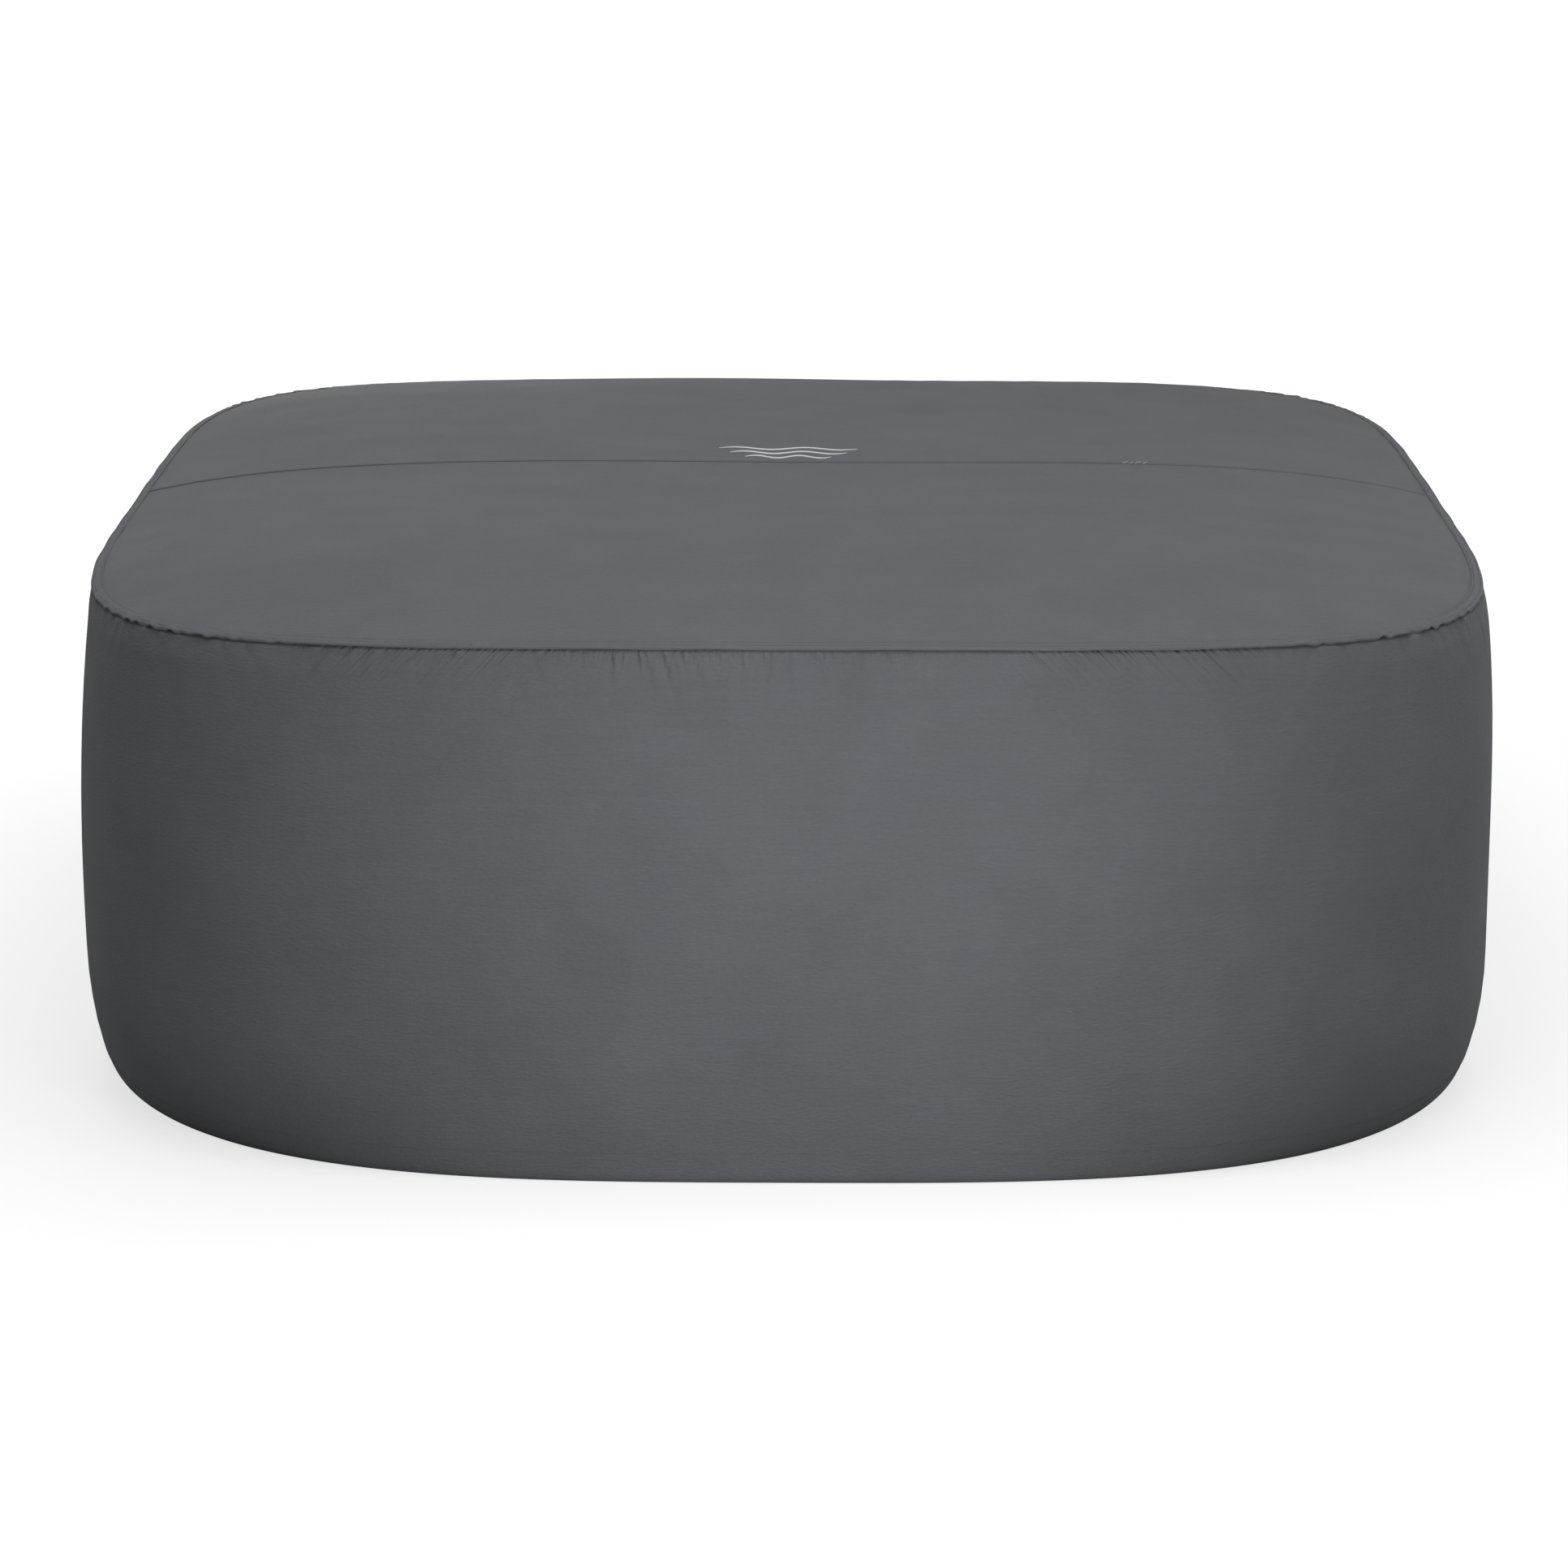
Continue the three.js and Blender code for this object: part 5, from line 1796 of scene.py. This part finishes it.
    def _tab(self, stitcher: Stitcher) -> list[Piece]:
        """The webbing pull tab, bowed out below its boxed stitching."""
        low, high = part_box("flap_pull_tab")
        half = (high.x - low.x) / 2
        bottom, top = low.z, high.z
        corners = Vector((self.middle - half, bottom, 0)), Vector((self.middle + half, top, 1.6 * MM))
        piece = Bench.slab("pull_tab", *corners, 2.5 * MM, 0.5 * MM)
        hanging = 38 * MM

        def lift(u: Array, v: Array) -> Array:
            """On the skin where it is sewn, and bowed out below."""
            free = ramp(bottom + hanging - v, hanging)
            bow = 4.5 * MM * np.sin(math.pi * free) ** 2
            return self.skin_out + 0.2 * MM + self.relief(u, v) * (1 - free) + bow

        self.wrap(piece, lift)
        dress(piece, Finishes.WEBBING, FLAP, ["flap_pull_tab"])
        left, right = self.middle - half + 3 * MM, self.middle + half - 3 * MM
        box_low, box_high = top - 27 * MM, top - 3 * MM
        corners = [(left, box_low), (right, box_low), (right, box_high), (left, box_high), (left, box_low)]
        corners += [(right, box_high), (right, box_low), (left, box_high)]
        flat = polyline(corners, 12)
        out = lift(flat[:, 0], flat[:, 1]) + 1.75 * MM
        thread = stitcher.seam("tab_stitching", [self.shell.wall(np.column_stack([flat, out]))], FLAP)
        return [piece, thread]

    def _bend(self) -> Piece:
        """The strip of cloth that bends between the hinge tape and the flap."""
        tape_low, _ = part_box("flap_hinge_tape")
        margin = 1 * MM
        low = Vector((self.start + margin, self.high - 7 * MM, 0))
        high = Vector((self.end - margin, tape_low.z + 4 * MM, 1 * MM))
        piece = Bench.slab("hinge_bend", low, high, 2 * MM)
        span = high.y - low.y
        under_skin, on_tape = 5.6 * MM, 0.9 * MM

        def lift(u: Array, v: Array) -> Array:
            """From under the flap's skin up to the tape."""
            share = ease(ramp(v - low.y, span))
            return under_skin * (1 - share) + on_tape * share

        self.wrap(piece, lift)
        dress(piece, Finishes.SEAM, None)
        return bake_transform(piece)


@dataclass
class WaveMark:
    """The generic mark on the top: three waves of white ink."""

    top: Top
    stroke: float = 8 * MM
    swing: float = 8 * MM
    thickness: float = 0.25 * MM
    taper: float = 0.16
    tip: float = 0.12
    cells: int = 96

    def build(self) -> None:
        """Prints the three waves, each within its CAD node's box."""
        for row in ("front", "middle", "rear"):
            low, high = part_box(f"wave_print_{row}")
            length = high.x - low.x
            y = (low.y + high.y) / 2 - self.top.shell.centre_y
            near = Vector((-length / 2, y - self.stroke / 2, 0))
            far = Vector((length / 2, y + self.stroke / 2, self.thickness))
            piece = Bench.slab(f"wave_{row}", near, far, length / self.cells)
            flat = Bench.places(piece)
            share = flat[:, 0] / length + 0.5
            taper = ramp(np.minimum(share, 1 - share), self.taper) ** 0.6
            flat[:, 1] = y + (flat[:, 1] - y) * (self.tip + (1 - self.tip) * taper)
            flat[:, 1] += self.swing * np.sin(4 * math.pi * share)
            Bench.lay_weave(piece, flat)
            flat[:, 2] += self.top.relief(flat[:, 0], flat[:, 1]) + 0.06 * MM
            Bench.move(piece, self.top.shell.top(flat))
            Bench.smooth(piece)
            dress(piece, Finishes.INK, COVER, [f"wave_print_{row}"])


# ---- studio -----------------------------------------------------------------------------------------


@dataclass
class Studio:
    """The camera, the floor and the light."""

    distance: float = 6.0
    height: float = 1.8830
    yaw: float = 0.00314
    pitch: float = 0.26563
    roll: float = 0.00241
    lens: float = 104.10
    side_step: float = -4.6 * MM
    sensor: float = 36.0
    reach: float = 200.0
    floor_size: float = 60.0
    floor_grey: float = 0.34
    ambient: float = 0.145

    def camera(self, centre_y: float) -> None:
        """Puts the camera before the cover's front."""
        data = bpy.data.cameras.new("camera")
        data.lens = self.lens
        data.sensor_width = self.sensor
        data.clip_end = self.reach
        camera = bpy.data.objects.new("camera", data)
        bpy.context.scene.collection.objects.link(camera)
        camera.location = (self.distance * self.yaw + self.side_step, -self.distance + centre_y, self.height)
        look = Euler((math.pi / 2 - self.pitch, 0, self.yaw), "XYZ").to_matrix()
        spin = Euler((0, 0, self.roll), "XYZ").to_matrix()
        camera.rotation_euler = (look @ spin).to_euler()
        bpy.context.scene.camera = camera

    def floor(self) -> None:
        """A plain pale floor that glows to the camera's eye only: a painted light, dimmer near the cover and
        brighter further out.
        """
        piece = Bench.start("floor", bpy.ops.mesh.primitive_plane_add, size=self.floor_size)
        material = bpy.data.materials.new("pale_floor")
        material.use_nodes = True
        shader = material.node_tree.nodes["Principled BSDF"]
        shader.inputs["Base Color"].default_value = (*[self.floor_grey] * 3, 1)
        shader.inputs["Roughness"].default_value = 0.95
        shader.inputs["Emission Color"].default_value = (1, 1, 1, 1)
        nodes = Nodes(material.node_tree)
        seen = nodes.add("ShaderNodeLightPath").outputs["Is Camera Ray"]
        place = nodes.add("ShaderNodeTexCoord").outputs["Object"]
        away = nodes.add("ShaderNodeVectorMath", {0: place}, operation="LENGTH").outputs["Value"]
        # painted light: the floor's glow for the camera rises from dim near the cover to bright further out
        near, far = 1.0, 3.5
        dim, bright = 0.70, 0.98
        ring = {0: away, 1: near, 2: far, 3: dim, 4: bright}
        painted_glow = nodes.add("ShaderNodeMapRange", ring).outputs[0]
        material.node_tree.links.new(nodes.math("MULTIPLY", seen, painted_glow), shader.inputs["Emission Strength"])
        piece.data.materials.append(material)

    @staticmethod
    def _lamp(name: str, place: Vector, target: Vector, size: tuple[float, float], watts: float) -> None:
        """One soft rectangular lamp, pointed at a target."""
        data = bpy.data.lights.new(name, "AREA")
        data.shape = "RECTANGLE"
        data.size, data.size_y = size
        data.energy = watts
        lamp = bpy.data.objects.new(name, data)
        bpy.context.scene.collection.objects.link(lamp)
        lamp.location = place
        lamp.rotation_euler = (target - place).to_track_quat("-Z", "Y").to_euler()
        lamp.visible_camera = False

    def light(self) -> None:
        """A white world, soft light from above, a near lamp before the front, and one on each other side."""
        world = bpy.data.worlds.new("studio")
        bpy.context.scene.world = world
        world.use_nodes = True
        nodes = Nodes(world.node_tree)
        background = world.node_tree.nodes["Background"]
        background.inputs[0].default_value = (1, 1, 1, 1)
        seen = nodes.add("ShaderNodeLightPath").outputs["Is Camera Ray"]
        world.node_tree.links.new(nodes.spread(seen, self.ambient, 1.0), background.inputs[1])
        self._lamp("front_softbox", Vector((0.12, -1.92, 0.56)), Vector((0.12, -0.9, 0.4)), (0.6, 0.5), 7.2)
        self._lamp("top_softbox", Vector((0.1, -0.7, 4.0)), Vector((0, 0, 0.7)), (4.0, 4.0), 106)
        self._lamp("right_softbox", Vector((2.9, -0.1, 0.9)), Vector((0.9, -0.3, 0.4)), (1.0, 1.0), 15.5)
        self._lamp("rear_softbox", Vector((-1.0, 3.3, 0.7)), Vector((0, 0.9, 0.3)), (1.4, 0.8), 22)
        self._lamp("left_softbox", Vector((-2.9, 0.1, 0.8)), Vector((-0.9, -0.3, 0.4)), (1.0, 1.0), 7.5)

    def colours(self) -> None:
        """Shows colours as they are."""
        bpy.context.scene.view_settings.view_transform = "Standard"


def main() -> None:
    """Builds the cover from the camera outwards and reports each piece."""
    logging.basicConfig(level=logging.INFO, format="%(name)s: %(message)s")
    shell = Shell()
    studio = Studio()
    studio.camera(shell.centre_y)
    stitcher = Stitcher()
    top = Top(shell)
    top.build(stitcher)
    skirt = Skirt(shell)
    skirt.build(stitcher)
    PumpOpening(shell, skirt=skirt).build(stitcher)
    PumpFlap(shell).build(stitcher)
    WaveMark(top).build()
    studio.floor()
    studio.light()
    studio.colours()
    Bench.clear()


if __name__ == "__main__":
    main()
